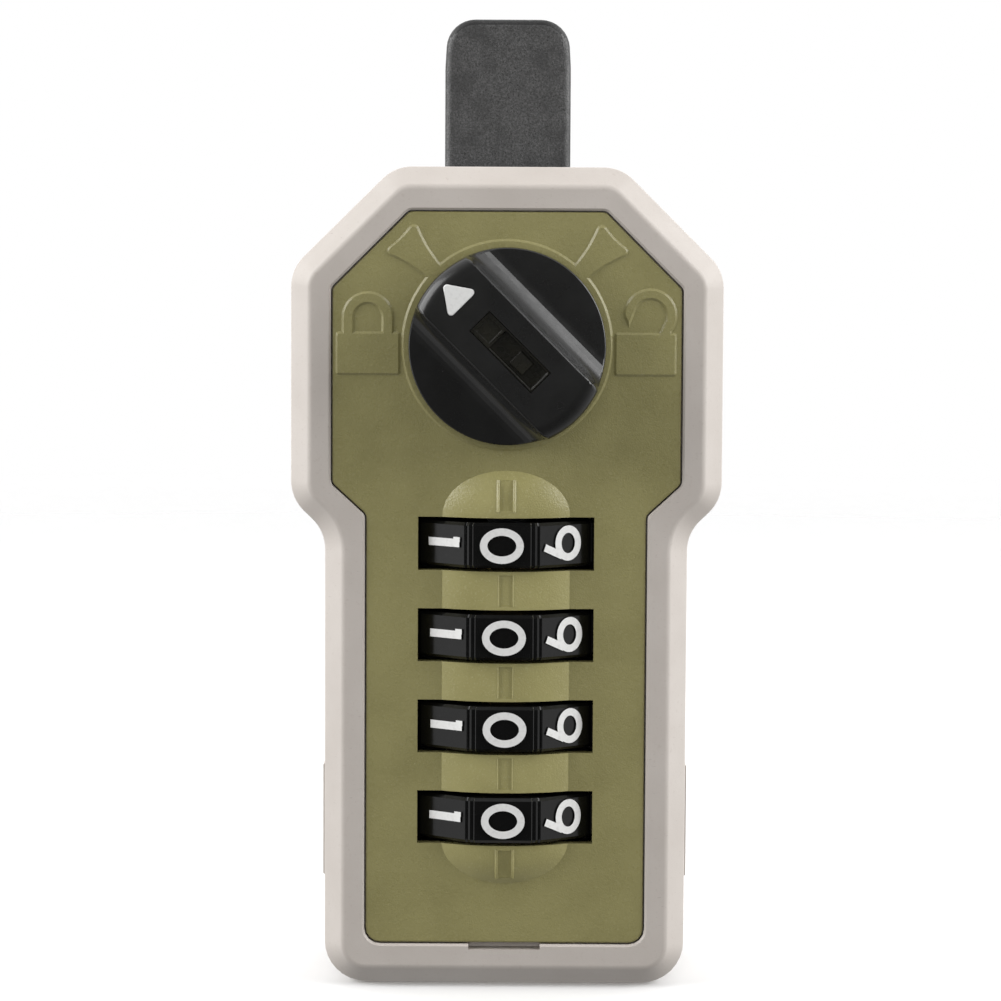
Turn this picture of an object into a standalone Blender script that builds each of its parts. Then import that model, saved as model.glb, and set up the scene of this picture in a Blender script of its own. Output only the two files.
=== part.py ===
"""Four-dial combination cam lock: turn knob, four number wheels, locking bar and tongue.

Metres, +Z up. The front faces -Y and the door is on the +Y side. The origin is where the knob's axis
meets the rear mounting face. Angles of the turning knob are measured from +Z towards +X.
"""

import math

import bmesh
import bpy
from mathutils import Matrix, Vector

MM = 0.001
GAP = 0.3 * MM  # clearance between pieces that touch on the real lock

# Body
BODY_DEPTH = 30.3 * MM
HEAD_HALF = 29.7 * MM
NECK_HALF = 25.0 * MM
BODY_TOP = 24.3 * MM
BODY_BOTTOM = -88.9 * MM
WALL = 2.3 * MM
CORNER_RADIUS = 5.8 * MM
FRONT_FILLET = 2.5 * MM
LIP_THICKNESS = 3.4 * MM

# Face plate
PLATE_FRONT = -30.0 * MM
PLATE_THICKNESS = 2.0 * MM
PLATE_SHELF = 1.2 * MM
PLATE_OUTLINE = (
    (13.4 * MM, 18.2 * MM, 1.0 * MM),
    (23.9 * MM, 7.7 * MM, 1.0 * MM),
    (23.9 * MM, -19.0 * MM, 1.2 * MM),
    (19.2 * MM, -23.3 * MM, 1.2 * MM),
    (19.2 * MM, -82.8 * MM, 2.0 * MM),
)
RIDGE_HALF = 8.75 * MM
RIDGE_HEIGHT = 2.2 * MM
RIDGE_END = 6.1 * MM  # how far each end's oval reaches past the straight sides
RIDGE_TOP = -17.5 * MM
RIDGE_BOTTOM = -74.5 * MM
INDEX_SIZE = (2.1 * MM, 0.6 * MM, 4.1 * MM)
KNOB_HOLE_RADIUS = 7.6 * MM
SNAP_LEGS = ((22.7 * MM, 2.0 * MM), (18.0 * MM, -47.5 * MM), (18.0 * MM, -75.0 * MM))
SNAP_LEG_HALF = 2.0 * MM

# Raised marks on the face plate
MARK_HEIGHT = 0.25 * MM
DIAL_RADIUS = 14.2 * MM
ARROW_HALF = (  # (distance from the knob's axis, half-width, corner radius) out along one side
    (13.8 * MM, 1.1 * MM, 0),
    (16.9 * MM, 1.45 * MM, 0),
    (20.7 * MM, 2.72 * MM, 0.45 * MM),
)
ARROW_END = 20.4 * MM
PADLOCK_BOTTOM = -3.88 * MM
PADLOCK_SHOULDER = 1.5 * MM
CLOSED_SIDES = (-23.2 * MM, -14.9 * MM)
CLOSED_SHACKLE = (-19.05 * MM, 3.7 * MM)
OPEN_SIDES = (14.95 * MM, 22.9 * MM)
OPEN_SHACKLE = (19.55 * MM, 4.15 * MM)
SHACKLE_RADIUS = 3.3 * MM
SHACKLE_INNER = 2.2 * MM

# Number wheels
DIGITS = 10
WHEEL_COUNT = 4
WHEEL_PITCH = 12.65 * MM
FIRST_WHEEL = -27.25 * MM
WHEEL_RADIUS = 15.0 * MM
WHEEL_THICKNESS = 6.2 * MM
WHEEL_AXIS_Y = -19.0 * MM
WINDOW_SIZE = (24.2 * MM, 7.35 * MM)
AXLE_RADIUS = 2.5 * MM
AXLE_BORE = 2.56 * MM
RING_HUB_RADIUS = 6.5 * MM
RING_RADIUS = 8.7 * MM
RING_THICKNESS = 2.0 * MM
GATE_FLOOR = 7.2 * MM
GATE_HALF = 2.3 * MM
TAB_HALF = 2.0 * MM
TAB_TIP = 7.5 * MM
TAB_THICKNESS = 1.5 * MM

# Knob train
KNOB_RADIUS = 13.4 * MM
KNOB_BACK = -30.6 * MM
KNOB_FRONT = -42.0 * MM
KNOB_HUB_RADIUS = 7.0 * MM
GRIP_TURN = math.radians(-45)  # the grip points at the closed mark
GRIP_HALF = 4.85 * MM
SCOOP_DEPTH = 6.7 * MM
SCOOP_DRAFT = 1.2 * MM
SCOOP_FILLET = 3.0 * MM
SCOOP_FALL = 0.13  # drop of the hollow's floor for each unit outwards
POINTER_CORNERS = (
    (0, 12.1 * MM, 0.5 * MM),
    (2.25 * MM, 8.5 * MM, 0.5 * MM),
    (-2.25 * MM, 8.5 * MM, 0.5 * MM),
)
POINTER_DEPTH = 0.5 * MM
KEYWAY_LOW = (-1.9 * MM, KNOB_FRONT - MM, -6.4 * MM)
KEYWAY_HIGH = (1.9 * MM, KNOB_FRONT + 2.2 * MM, 5.3 * MM)
SPINDLE_SQUARE = 6.0 * MM
SPINDLE_RADIUS = 4.3 * MM
SPINDLE_GROOVE = (12.4 * MM, 13.2 * MM)
GROOVE_RADIUS = 3.7 * MM
CAM_START = 12.7 * MM
BAR_TRAVEL = 4.2 * MM
CAM_BACK = -5.3 * MM
CAM_FRONT = -8.3 * MM
FOLLOWER_Z = -14.0 * MM
FOLLOWER_RADIUS = 1.2 * MM
TONGUE_FRONT = 14.5 * MM
TONGUE_THICKNESS = 3.0 * MM
TONGUE_HALF = 9.3 * MM
TONGUE_TIP = 46.2 * MM

# Locking bar
BAR_FRONT = -3.4 * MM
BAR_BACK = -2.3 * MM
BAR_HALF = 5.0 * MM
BAR_TOP = -12.3 * MM
BAR_END = -74.8 * MM
FOOT_HALF = 6.8 * MM
FOOT_TOP = -65.6 * MM
RIVETS = ((0, -22.3 * MM), (-4.6 * MM, -72.4 * MM), (4.6 * MM, -72.4 * MM))
RIVET_SHANK = 1.0 * MM
RIVET_HEAD = 1.75 * MM
SPRING_TOP = -75.0 * MM
SPRING_BOTTOM = -83.4 * MM
SPRING_Y = -8.5 * MM

# Rear
REAR_FACE = 0.0
REAR_PLATE_THICKNESS = 2.0 * MM
COLLAR_RADIUS = 9.5 * MM
COLLAR_FLAT = 8.0 * MM
COLLAR_BORE = 4.38 * MM
COLLAR_END = 12.0 * MM
REAR_SCREWS = (
    (-22.6 * MM, -8.0 * MM),
    (22.6 * MM, -8.0 * MM),
    (-19.0 * MM, -82.0 * MM),
    (19.0 * MM, -82.0 * MM),
)
CARRIER_SCREWS = (
    (-20.6 * MM, -31.0 * MM),
    (20.6 * MM, -31.0 * MM),
    (-20.6 * MM, -64.0 * MM),
    (20.6 * MM, -64.0 * MM),
)
INSERTS = ((-11.5 * MM, -79.0 * MM), (11.5 * MM, -79.0 * MM))
INSERT_RADIUS = 2.6 * MM
STOP_ANGLE = 67  # degrees from +Z to each stop post of the cam
STOP_REACH = 14.8 * MM

# Wheel carrier: (low, high) of its two ears, and the faces of its side rails
EAR_TOP = (-23.1 * MM, -21.3 * MM)
EAR_BOTTOM = (-75.3 * MM, -73.5 * MM)
RAIL_INNER = 17.2 * MM
RAIL_OUTER = 18.5 * MM
CARRIER_FRONT = -24.0 * MM
CARRIER_BACK = -13.0 * MM
LUG_END = 22.3 * MM
DETENT_SPINE_Y = -14.2 * MM
DETENT_SCREW_Z = (-33.6 * MM, -58.9 * MM)
DETENT_THICKNESS = 0.25 * MM

SEGMENTS = 40
COLOURS = {
    "beige_plastic": ((0.55, 0.50, 0.45), 0.45, 0.0),
    "olive_plate": ((0.19, 0.18, 0.075), 0.45, 0.0),
    "black_plastic": ((0.012, 0.012, 0.013), 0.25, 0.0),
    "white_mark": ((0.8, 0.8, 0.78), 0.5, 0.0),
    "dark_cast": ((0.06, 0.06, 0.062), 0.6, 0.7),
    "zinc_steel": ((0.55, 0.55, 0.55), 0.35, 1.0),
    "spring_steel": ((0.42, 0.42, 0.44), 0.3, 1.0),
    "brass": ((0.65, 0.45, 0.15), 0.3, 1.0),
}


def clear_scene():
    for obj in list(bpy.data.objects):
        bpy.data.objects.remove(obj)


def new_collection(name):
    collection = bpy.data.collections.new(name)
    bpy.context.scene.collection.children.link(collection)
    return collection


def make_material(name):
    colour, roughness, metallic = COLOURS[name]
    material = bpy.data.materials.new(name)
    material.use_nodes = True
    shader = material.node_tree.nodes["Principled BSDF"]
    shader.inputs["Base Color"].default_value = (*colour, 1.0)
    shader.inputs["Roughness"].default_value = roughness
    shader.inputs["Metallic"].default_value = metallic
    material.diffuse_color = (*colour, 1.0)
    return material


clear_scene()
PARTS = new_collection("combination_cam_lock")
CUTTERS = new_collection("cutters")
MATERIALS = {name: make_material(name) for name in COLOURS}


# ---- shared tools ----


def add_part(name, mesh, material):
    """Puts a finished mesh in the parts collection and shades it smooth between its sharp edges."""
    obj = bpy.data.objects.new(name, mesh)
    PARTS.objects.link(obj)
    mesh.materials.clear()
    mesh.materials.append(MATERIALS[material])
    mesh.shade_smooth()
    mesh.set_sharp_from_angle(angle=math.radians(35))
    return obj


def add_cutter(name, mesh):
    obj = bpy.data.objects.new(name, mesh)
    CUTTERS.objects.link(obj)
    obj.hide_render = True
    obj.display_type = "WIRE"
    return obj


def combine(obj, other, operation="DIFFERENCE"):
    modifier = obj.modifiers.new(other.name, "BOOLEAN")
    modifier.operation = operation
    modifier.object = other


def cut(obj, name, mesh):
    combine(obj, add_cutter(f"{obj.name}_{name}", mesh))


def join(obj, name, mesh):
    combine(obj, add_cutter(f"{obj.name}_{name}", mesh), "UNION")


def to_mesh(bm, name):
    mesh = bpy.data.meshes.new(name)
    bm.to_mesh(mesh)
    bm.free()
    return mesh


def box(name, low, high):
    """A box between two corners."""
    bm = bmesh.new()
    bmesh.ops.create_cube(bm, size=1.0)
    size = [b - a for a, b in zip(low, high)]
    middle = [(a + b) / 2 for a, b in zip(low, high)]
    bmesh.ops.transform(bm, matrix=Matrix.Translation(middle) @ Matrix.Diagonal((*size, 1)), verts=bm.verts)
    return to_mesh(bm, name)


def rod(name, start, end, radius, segments=SEGMENTS, radius_end=None):
    """A cylinder or cone between two points."""
    start, end = Vector(start), Vector(end)
    turn = (end - start).to_track_quat("Z", "Y").to_matrix().to_4x4()
    bm = bmesh.new()
    bmesh.ops.create_cone(
        bm,
        cap_ends=True,
        segments=segments,
        radius1=radius,
        radius2=radius if radius_end is None else radius_end,
        depth=(end - start).length,
        matrix=Matrix.Translation((start + end) / 2) @ turn,
    )
    return to_mesh(bm, name)


def rod_y(name, x, z, y_low, y_high, radius, segments=SEGMENTS):
    return rod(name, (x, y_low, z), (x, y_high, z), radius, segments)


def rounded(corners, steps=4):
    """A closed outline from (x, z, radius) corners, each rounded by an arc."""
    points = []
    for index, (x, z, radius) in enumerate(corners):
        here = Vector((x, z))
        back = (Vector(corners[index - 1][:2]) - here).normalized()
        onward = (Vector(corners[(index + 1) % len(corners)][:2]) - here).normalized()
        half = back.angle(onward) / 2
        if radius <= 0 or half > math.radians(89):
            points.append(here)
            continue
        reach = radius / math.tan(half)
        centre = here + (back + onward).normalized() * radius / math.sin(half)
        first = here + back * reach - centre
        last = here + onward * reach - centre
        sweep = first.angle_signed(last)
        for step in range(steps + 1):
            points.append(centre + Matrix.Rotation(-sweep * step / steps, 2) @ first)
    return points


def mirrored(right_half):
    """The whole outline of (x, z, radius) corners from its right half, which runs from top to bottom."""
    return list(right_half) + [(-x, z, radius) for x, z, radius in reversed(right_half)]


def arc(centre, radius, start, end, steps):
    """Points round a centre, with angles in degrees from +Z towards +X."""
    return [
        Vector((centre[0] + radius * math.sin(angle), centre[1] + radius * math.cos(angle)))
        for angle in (math.radians(start + (end - start) * i / steps) for i in range(steps + 1))
    ]


def slab(name, outlines, y_low, y_high):
    """A flat piece parallel to the face plate: its outline, then any holes, between two depths."""
    curve = bpy.data.curves.new(name, "CURVE")
    curve.dimensions = "2D"
    curve.fill_mode = "BOTH"
    curve.extrude = (y_high - y_low) / 2
    for outline in outlines:
        spline = curve.splines.new("POLY")
        spline.points.add(len(outline) - 1)
        for point, place in zip(spline.points, outline):
            point.co = (place[0], place[1], 0, 1)
        spline.use_cyclic_u = True
    guide = bpy.data.objects.new(name, curve)
    CUTTERS.objects.link(guide)
    upright = Matrix.Rotation(math.pi / 2, 4, "X")
    guide.matrix_world = Matrix.Translation((0, (y_low + y_high) / 2, 0)) @ upright
    bpy.context.view_layer.update()
    evaluated = guide.evaluated_get(bpy.context.evaluated_depsgraph_get())
    mesh = bpy.data.meshes.new_from_object(evaluated)
    mesh.transform(guide.matrix_world)
    bpy.data.objects.remove(guide)
    bm = bmesh.new()
    bm.from_mesh(mesh)
    bmesh.ops.remove_doubles(bm, verts=bm.verts, dist=1e-6)
    bmesh.ops.dissolve_limit(bm, angle_limit=math.radians(0.5), verts=bm.verts, edges=bm.edges)
    bmesh.ops.recalc_face_normals(bm, faces=bm.faces)
    bm.to_mesh(mesh)
    bm.free()
    return mesh


def bevel_loop(mesh, y, width, steps):
    """Rounds the outer edges of a slab that lie at one depth."""
    bm = bmesh.new()
    bm.from_mesh(mesh)
    edges = [
        edge
        for edge in bm.edges
        if all(abs(vertex.co.y - y) < 1e-6 for vertex in edge.verts) and edge.calc_face_angle(0) > 0.5
    ]
    bmesh.ops.bevel(bm, geom=edges, offset=width, segments=steps, profile=0.5, affect="EDGES")
    bm.to_mesh(mesh)
    bm.free()
    return mesh


def turned(name, profile, material, place, axis, segments=SEGMENTS):
    """A turned piece: (radius, height) points down the outer side, spun by a Screw modifier."""
    mesh = bpy.data.meshes.new(name)
    mesh.from_pydata(
        [(radius, 0, height) for radius, height in profile],
        [(i, i + 1) for i in range(len(profile) - 1)],
        [],
    )
    obj = add_part(name, mesh, material)
    screw = obj.modifiers.new("spin", "SCREW")
    screw.steps = segments
    screw.render_steps = segments
    screw.use_merge_vertices = True
    screw.merge_threshold = 1e-6
    obj.location = place
    obj.rotation_euler = Vector(axis).to_track_quat("Z", "Y").to_euler()
    return obj


def ring(name, material, place, axis, outer, inner, height, segments=SEGMENTS):
    """A washer or tube standing on its place along the axis."""
    profile = [(inner, height), (outer, height), (outer, 0), (inner, 0), (inner, height)]
    return turned(name, profile, material, place, axis, segments)


def wheel_z(index):
    return FIRST_WHEEL - index * WHEEL_PITCH


def square(half):
    return [(half, half), (half, -half), (-half, -half), (-half, half)]


def offset_outline(corners, distance):
    """Moves each straight side of a (x, z, radius) outline outwards, or inwards if negative."""
    moved = []
    for index, (x, z, radius) in enumerate(corners):
        here = Vector((x, z))
        back = (here - Vector(corners[index - 1][:2])).normalized()
        onward = (Vector(corners[(index + 1) % len(corners)][:2]) - here).normalized()
        out_back = Vector((-back.y, back.x))
        out_onward = Vector((-onward.y, onward.x))
        shift = (out_back + out_onward) * distance / (1 + out_back.dot(out_onward))
        moved.append((x + shift.x, z + shift.y, radius))
    return moved


BODY_CORNERS = mirrored(
    (
        (15.5 * MM, BODY_TOP, CORNER_RADIUS),
        (HEAD_HALF, 10.2 * MM, CORNER_RADIUS),
        (HEAD_HALF, -21.4 * MM, CORNER_RADIUS),
        (NECK_HALF, -25.9 * MM, CORNER_RADIUS),
        (NECK_HALF, BODY_BOTTOM, CORNER_RADIUS),
    )
)
CAVITY_CORNERS = [(x, z, CORNER_RADIUS - WALL) for x, z, _ in offset_outline(BODY_CORNERS, -WALL)]
PLATE_CORNERS = mirrored(PLATE_OUTLINE)


# ---- body ----


def make_front_frame():
    mesh = slab("front_frame", [rounded(BODY_CORNERS)], -BODY_DEPTH, REAR_FACE)
    frame = add_part("front_frame", bevel_loop(mesh, -BODY_DEPTH, FRONT_FILLET, 4), "beige_plastic")
    lip_back = LIP_THICKNESS - BODY_DEPTH
    cut(frame, "cavity", slab("cavity", [rounded(CAVITY_CORNERS)], lip_back, MM))
    seat = [(x, z, radius) for x, z, radius in offset_outline(PLATE_CORNERS, 0.2 * MM)]
    seat_back = PLATE_FRONT + PLATE_THICKNESS + GAP
    cut(frame, "seat", slab("seat", [rounded(seat, 2)], -BODY_DEPTH - MM, seat_back))
    shelf = offset_outline(PLATE_CORNERS, -PLATE_SHELF)
    cut(frame, "opening", slab("opening", [rounded(shelf, 1)], -BODY_DEPTH + MM, lip_back + MM))
    boss_front = lip_back - 0.5 * MM
    for number, (x, z) in enumerate(REAR_SCREWS, 1):
        boss_back = -REAR_PLATE_THICKNESS - GAP
        join(frame, f"boss_{number}", rod_y("boss", x, z, boss_front, boss_back, 2.9 * MM, 20))
        cut(frame, f"pilot_{number}", rod_y("pilot", x, z, -16 * MM, MM, 1.5 * MM, 12))
    for number, (x, z) in enumerate(CARRIER_SCREWS, 1):
        join(frame, f"carrier_boss_{number}", rod_y("boss", x, z, boss_front, -24.3 * MM, 2.0 * MM, 16))
        cut(frame, f"carrier_pilot_{number}", rod_y("pilot", x, z, -28.5 * MM, -23 * MM, 1.1 * MM, 12))
    for side in (-1, 1):
        low_x, high_x = sorted((side * (NECK_HALF - MM), side * (NECK_HALF + 0.35 * MM)))
        pad = box("pad", (low_x, -24 * MM, -74.6 * MM), (high_x, -6 * MM, -58.6 * MM))
        join(frame, f"side_pad_{side}", pad)
    cut(
        frame,
        "pry_notch",
        box("notch", (-4.95 * MM, -BODY_DEPTH - MM, -83.8 * MM), (4.95 * MM, -28.3 * MM, -82.6 * MM)),
    )


def make_face_plate():
    back = PLATE_FRONT + PLATE_THICKNESS
    plate = add_part(
        "face_plate",
        slab("face_plate", [rounded(PLATE_CORNERS, 3)], PLATE_FRONT, back),
        "olive_plate",
    )
    ridge_radius = (RIDGE_HALF**2 + RIDGE_HEIGHT**2) / (2 * RIDGE_HEIGHT)
    ridge_axis = PLATE_FRONT - RIDGE_HEIGHT + ridge_radius
    stretch = Matrix.Diagonal((1, RIDGE_END / RIDGE_HALF))
    upper, lower = Vector((0, RIDGE_TOP - RIDGE_END)), Vector((0, RIDGE_BOTTOM + RIDGE_END))
    pill = [stretch @ point + upper for point in arc((0, 0), RIDGE_HALF, -90, 90, 14)]
    pill += [stretch @ point + lower for point in arc((0, 0), RIDGE_HALF, 90, 270, 14)]
    dome_low, dome_high = (0, ridge_axis, RIDGE_BOTTOM - MM), (0, ridge_axis, RIDGE_TOP + MM)
    dome = add_cutter("ridge_dome", rod("dome", dome_low, dome_high, ridge_radius, 96))
    ridge = add_cutter("ridge", slab("ridge", [pill], PLATE_FRONT - 4 * MM, back - 0.5 * MM))
    combine(ridge, dome, "INTERSECT")
    combine(plate, ridge, "UNION")
    add_raised_marks(plate)
    cut(plate, "knob_hole", rod_y("hole", 0, 0, PLATE_FRONT - MM, back + MM, KNOB_HOLE_RADIUS, SEGMENTS))
    for index in range(WHEEL_COUNT):
        half_x, half_z = WINDOW_SIZE[0] / 2, WINDOW_SIZE[1] / 2
        low = (-half_x, PLATE_FRONT - 4 * MM, wheel_z(index) - half_z)
        high = (half_x, back + MM, wheel_z(index) + half_z)
        cut(plate, f"window_{index + 1}", box("window", low, high))
    width, depth, height = INDEX_SIZE
    floor = PLATE_FRONT - RIDGE_HEIGHT + depth
    for index in range(WHEEL_COUNT + 1):
        z = wheel_z(index) + WHEEL_PITCH / 2
        low = (-width / 2, floor - 2 * MM, z - height / 2)
        high = (width / 2, floor, z + height / 2)
        cut(plate, f"index_{index + 1}", box("index", low, high))
    add_snap_legs(plate)


def arrow_outline(turn):
    """One arrow of the dial, pointing away from the knob at an angle from +Z."""
    side = [(half, reach, radius) for reach, half, radius in ARROW_HALF]
    corners = side + [(0, ARROW_END, 0)] + [(-half, reach, radius) for half, reach, radius in reversed(side)]
    rotation = Matrix.Rotation(math.radians(-turn), 2)
    return [rotation @ point for point in rounded(corners)]


def shackle_outline(centre, foot):
    """A half-ring with straight legs down to its padlock."""
    outer = arc(centre, SHACKLE_RADIUS, -90, 90, 12)
    inner = arc(centre, SHACKLE_INNER, 90, -90, 10)
    right = [(centre[0] + SHACKLE_RADIUS, foot), (centre[0] + SHACKLE_INNER, foot)]
    left = [(centre[0] - SHACKLE_INNER, foot), (centre[0] - SHACKLE_RADIUS, foot)]
    return outer + right + inner + left


def open_shackle_outline(centre, foot):
    """A shackle swung off its left hole: the right leg leans in and the left end hangs free."""
    outer = arc(centre, SHACKLE_RADIUS + 0.1 * MM, -88, 128, 14)
    inner = arc(centre, SHACKLE_INNER + 0.25 * MM, 108, -72, 12)
    right = [(centre[0] + 2.65 * MM, foot), (centre[0] + 1.2 * MM, foot)]
    free_end = [(centre[0] - 2.95 * MM, centre[1] - 0.9 * MM)]
    return outer + right + inner + free_end


def add_raised_marks(plate):
    """The dial with its two arrows, a closed padlock on the left and an open one on the right."""
    foot = PADLOCK_SHOULDER - MM
    marks = [arc((0, 0), DIAL_RADIUS, 0, 354, 59), arrow_outline(-45), arrow_outline(45)]
    for low_x, high_x in (CLOSED_SIDES, OPEN_SIDES):
        corners = [(low_x, PADLOCK_SHOULDER), (high_x, PADLOCK_SHOULDER)]
        marks.append(corners + [(high_x, PADLOCK_BOTTOM), (low_x, PADLOCK_BOTTOM)])
    marks += [shackle_outline(CLOSED_SHACKLE, foot), open_shackle_outline(OPEN_SHACKLE, foot)]
    for number, outline in enumerate(marks, 1):
        mesh = slab("mark", [outline], PLATE_FRONT - MARK_HEIGHT, PLATE_FRONT + MM)
        join(plate, f"mark_{number}", mesh)


def add_snap_legs(plate):
    """Legs behind the plate whose barbs hook under the frame's shelf."""
    back = PLATE_FRONT + PLATE_THICKNESS
    shelf_back = LIP_THICKNESS - BODY_DEPTH
    for number, (shelf_x, z) in enumerate(SNAP_LEGS, 1):
        for side in (-1, 1):
            inner, outer = shelf_x - 1.4 * MM, shelf_x - 0.3 * MM
            low_x, high_x = sorted((side * inner, side * outer))
            leg_back = shelf_back + 1.4 * MM
            bottom, top = z - SNAP_LEG_HALF, z + SNAP_LEG_HALF
            leg = box("leg", (low_x, back - MM, bottom), (high_x, leg_back, top))
            join(plate, f"leg_{number}_{side}", leg)
            low_x, high_x = sorted((side * (outer - 0.5 * MM), side * (outer + 0.8 * MM)))
            barb = box("barb", (low_x, shelf_back + GAP, bottom), (high_x, leg_back, top))
            join(plate, f"barb_{number}_{side}", barb)


def make_rear_plate():
    corners = [(x, z, radius) for x, z, radius in offset_outline(CAVITY_CORNERS, -0.25 * MM)]
    front = -REAR_PLATE_THICKNESS
    plate = add_part("rear_plate", slab("rear_plate", [rounded(corners, 3)], front, REAR_FACE), "dark_cast")
    for side in (-1, 1):
        low_x, high_x = sorted((side * (BAR_HALF + GAP), side * (BAR_HALF + 1.5 * MM)))
        guide = box("guide", (low_x, -3.8 * MM, -65 * MM), (high_x, front + MM, -24 * MM))
        join(plate, f"guide_{side}", guide)
        stop = math.radians(STOP_ANGLE * side)
        x, z = STOP_REACH * math.sin(stop), STOP_REACH * math.cos(stop)
        join(plate, f"stop_{side}", rod_y("stop", x, z, CAM_FRONT, front + MM, 1.5 * MM, 12))
    shelf_top = SPRING_BOTTOM - GAP
    shelf = box("shelf", (-4 * MM, -12 * MM, shelf_top - 1.2 * MM), (4 * MM, front + MM, shelf_top))
    join(plate, "spring_shelf", shelf)
    for number, (x, z) in enumerate(INSERTS, 1):
        join(plate, f"insert_boss_{number}", rod_y("boss", x, z, -7.5 * MM, front + MM, 4.0 * MM, 20))
        cut(plate, f"insert_hole_{number}", rod_y("hole", x, z, -8 * MM, MM, INSERT_RADIUS + GAP, 20))
    for number, (x, z) in enumerate(REAR_SCREWS, 1):
        cut(plate, f"screw_hole_{number}", rod_y("hole", x, z, -3 * MM, MM, 1.6 * MM, 16))
        cut(plate, f"sink_{number}", rod("sink", (x, -1.5 * MM, z), (x, 0.2 * MM, z), 1.3 * MM, 16, 3.0 * MM))
    for number, (x, z) in enumerate(RIVETS, 1):
        cut(plate, f"rivet_hole_{number}", rod_y("hole", x, z, -3 * MM, MM, RIVET_SHANK + 0.2 * MM, 12))
    hole = double_d(COLLAR_RADIUS + GAP, COLLAR_FLAT + GAP)
    cut(plate, "collar_hole", slab("hole", [hole], -3 * MM, MM))
    return plate


def double_d(radius, flat, steps=12):
    """A circle with two flats, at +X and -X."""
    half = math.degrees(math.asin(flat / radius))
    return arc((0, 0), radius, -half, half, steps) + arc((0, 0), radius, 180 - half, 180 + half, steps)


def make_threaded_collar():
    collar = add_part(
        "threaded_collar",
        slab("threaded_collar", [double_d(COLLAR_RADIUS, COLLAR_FLAT)], -3 * MM, COLLAR_END),
        "zinc_steel",
    )
    flange_back = -REAR_PLATE_THICKNESS - GAP
    join(collar, "flange", rod_y("flange", 0, 0, -4.8 * MM, flange_back, 11.6 * MM))
    cut(collar, "bore", rod_y("bore", 0, 0, -6 * MM, COLLAR_END + MM, COLLAR_BORE))


def make_collar_fastening():
    ring("lock_washer", "zinc_steel", (0, 5.2 * MM, 0), (0, 1, 0), 12.8 * MM, COLLAR_RADIUS + GAP, MM)
    hexagon = arc((0, 0), 13.9 * MM, 30, 330, 5)
    nut = add_part("collar_nut", slab("collar_nut", [hexagon], 6.5 * MM, 11 * MM), "zinc_steel")
    cut(nut, "bore", rod_y("bore", 0, 0, 5 * MM, 12 * MM, COLLAR_RADIUS + GAP))


def make_rear_fasteners():
    for number, (x, z) in enumerate(REAR_SCREWS, 1):
        head = [(0, -0.1 * MM), (2.4 * MM, -0.1 * MM), (2.4 * MM, -0.3 * MM), (1.15 * MM, -1.6 * MM)]
        shank = [(1.15 * MM, -13 * MM), (0, -13.8 * MM)]
        screw = turned(f"rear_screw_{number}", head + shank, "zinc_steel", (x, 0, z), (0, 1, 0), 16)
        for turn in (0, 90):
            slot = box("slot", (-1.3 * MM, -1.1 * MM, -0.25 * MM), (1.3 * MM, 0.5 * MM, 0.25 * MM))
            slot.transform(Matrix.Translation((x, 0, z)) @ Matrix.Rotation(math.radians(turn), 4, "Y"))
            cut(screw, f"slot_{turn}", slot)
    for number, (x, z) in enumerate(INSERTS, 1):
        name, place = f"fixing_insert_{number}", (x, -7 * MM, z)
        ring(name, "brass", place, (0, 1, 0), INSERT_RADIUS, 1.65 * MM, 6.9 * MM, 20)


# ---- wheel carrier ----


def make_wheel_carrier():
    """A frame round the wheels: two side rails, two ears that hold the axle, and four fixing lugs."""
    low = (-RAIL_OUTER, CARRIER_FRONT, EAR_BOTTOM[0])
    high = (RAIL_OUTER, CARRIER_BACK, EAR_TOP[1])
    carrier = add_part("wheel_carrier", box("wheel_carrier", low, high), "dark_cast")
    low = (-RAIL_INNER, CARRIER_FRONT - MM, EAR_BOTTOM[1])
    high = (RAIL_INNER, CARRIER_BACK + MM, EAR_TOP[0])
    cut(carrier, "middle", box("middle", low, high))
    hole_low = (0, WHEEL_AXIS_Y, EAR_BOTTOM[0] - MM)
    hole_high = (0, WHEEL_AXIS_Y, EAR_TOP[1] + MM)
    cut(carrier, "axle_hole", rod("hole", hole_low, hole_high, AXLE_RADIUS + 0.1 * MM, 24))
    for number, (x, z) in enumerate(CARRIER_SCREWS, 1):
        low_x, high_x = sorted((math.copysign(RAIL_OUTER - MM, x), math.copysign(LUG_END, x)))
        lug = box("lug", (low_x, CARRIER_FRONT, z - 3 * MM), (high_x, CARRIER_FRONT + 1.5 * MM, z + 3 * MM))
        join(carrier, f"lug_{number}", lug)
        cut(carrier, f"lug_hole_{number}", rod_y("hole", x, z, -26 * MM, -20 * MM, 1.1 * MM, 12))
        head = [(0, 1.4 * MM), (1.4 * MM, 1.4 * MM), (1.8 * MM, MM), (1.8 * MM, 0), (0.8 * MM, 0)]
        shank = [(0.8 * MM, -5 * MM), (0, -5.6 * MM)]
        place = (x, CARRIER_FRONT + 1.8 * MM, z)
        turned(f"carrier_screw_{number}", head + shank, "zinc_steel", place, (0, 1, 0), 12)
    for number, z in enumerate(DETENT_SCREW_Z, 1):
        hole = rod("hole", (-20 * MM, DETENT_SPINE_Y, z), (-15 * MM, DETENT_SPINE_Y, z), MM, 12)
        cut(carrier, f"detent_hole_{number}", hole)


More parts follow.
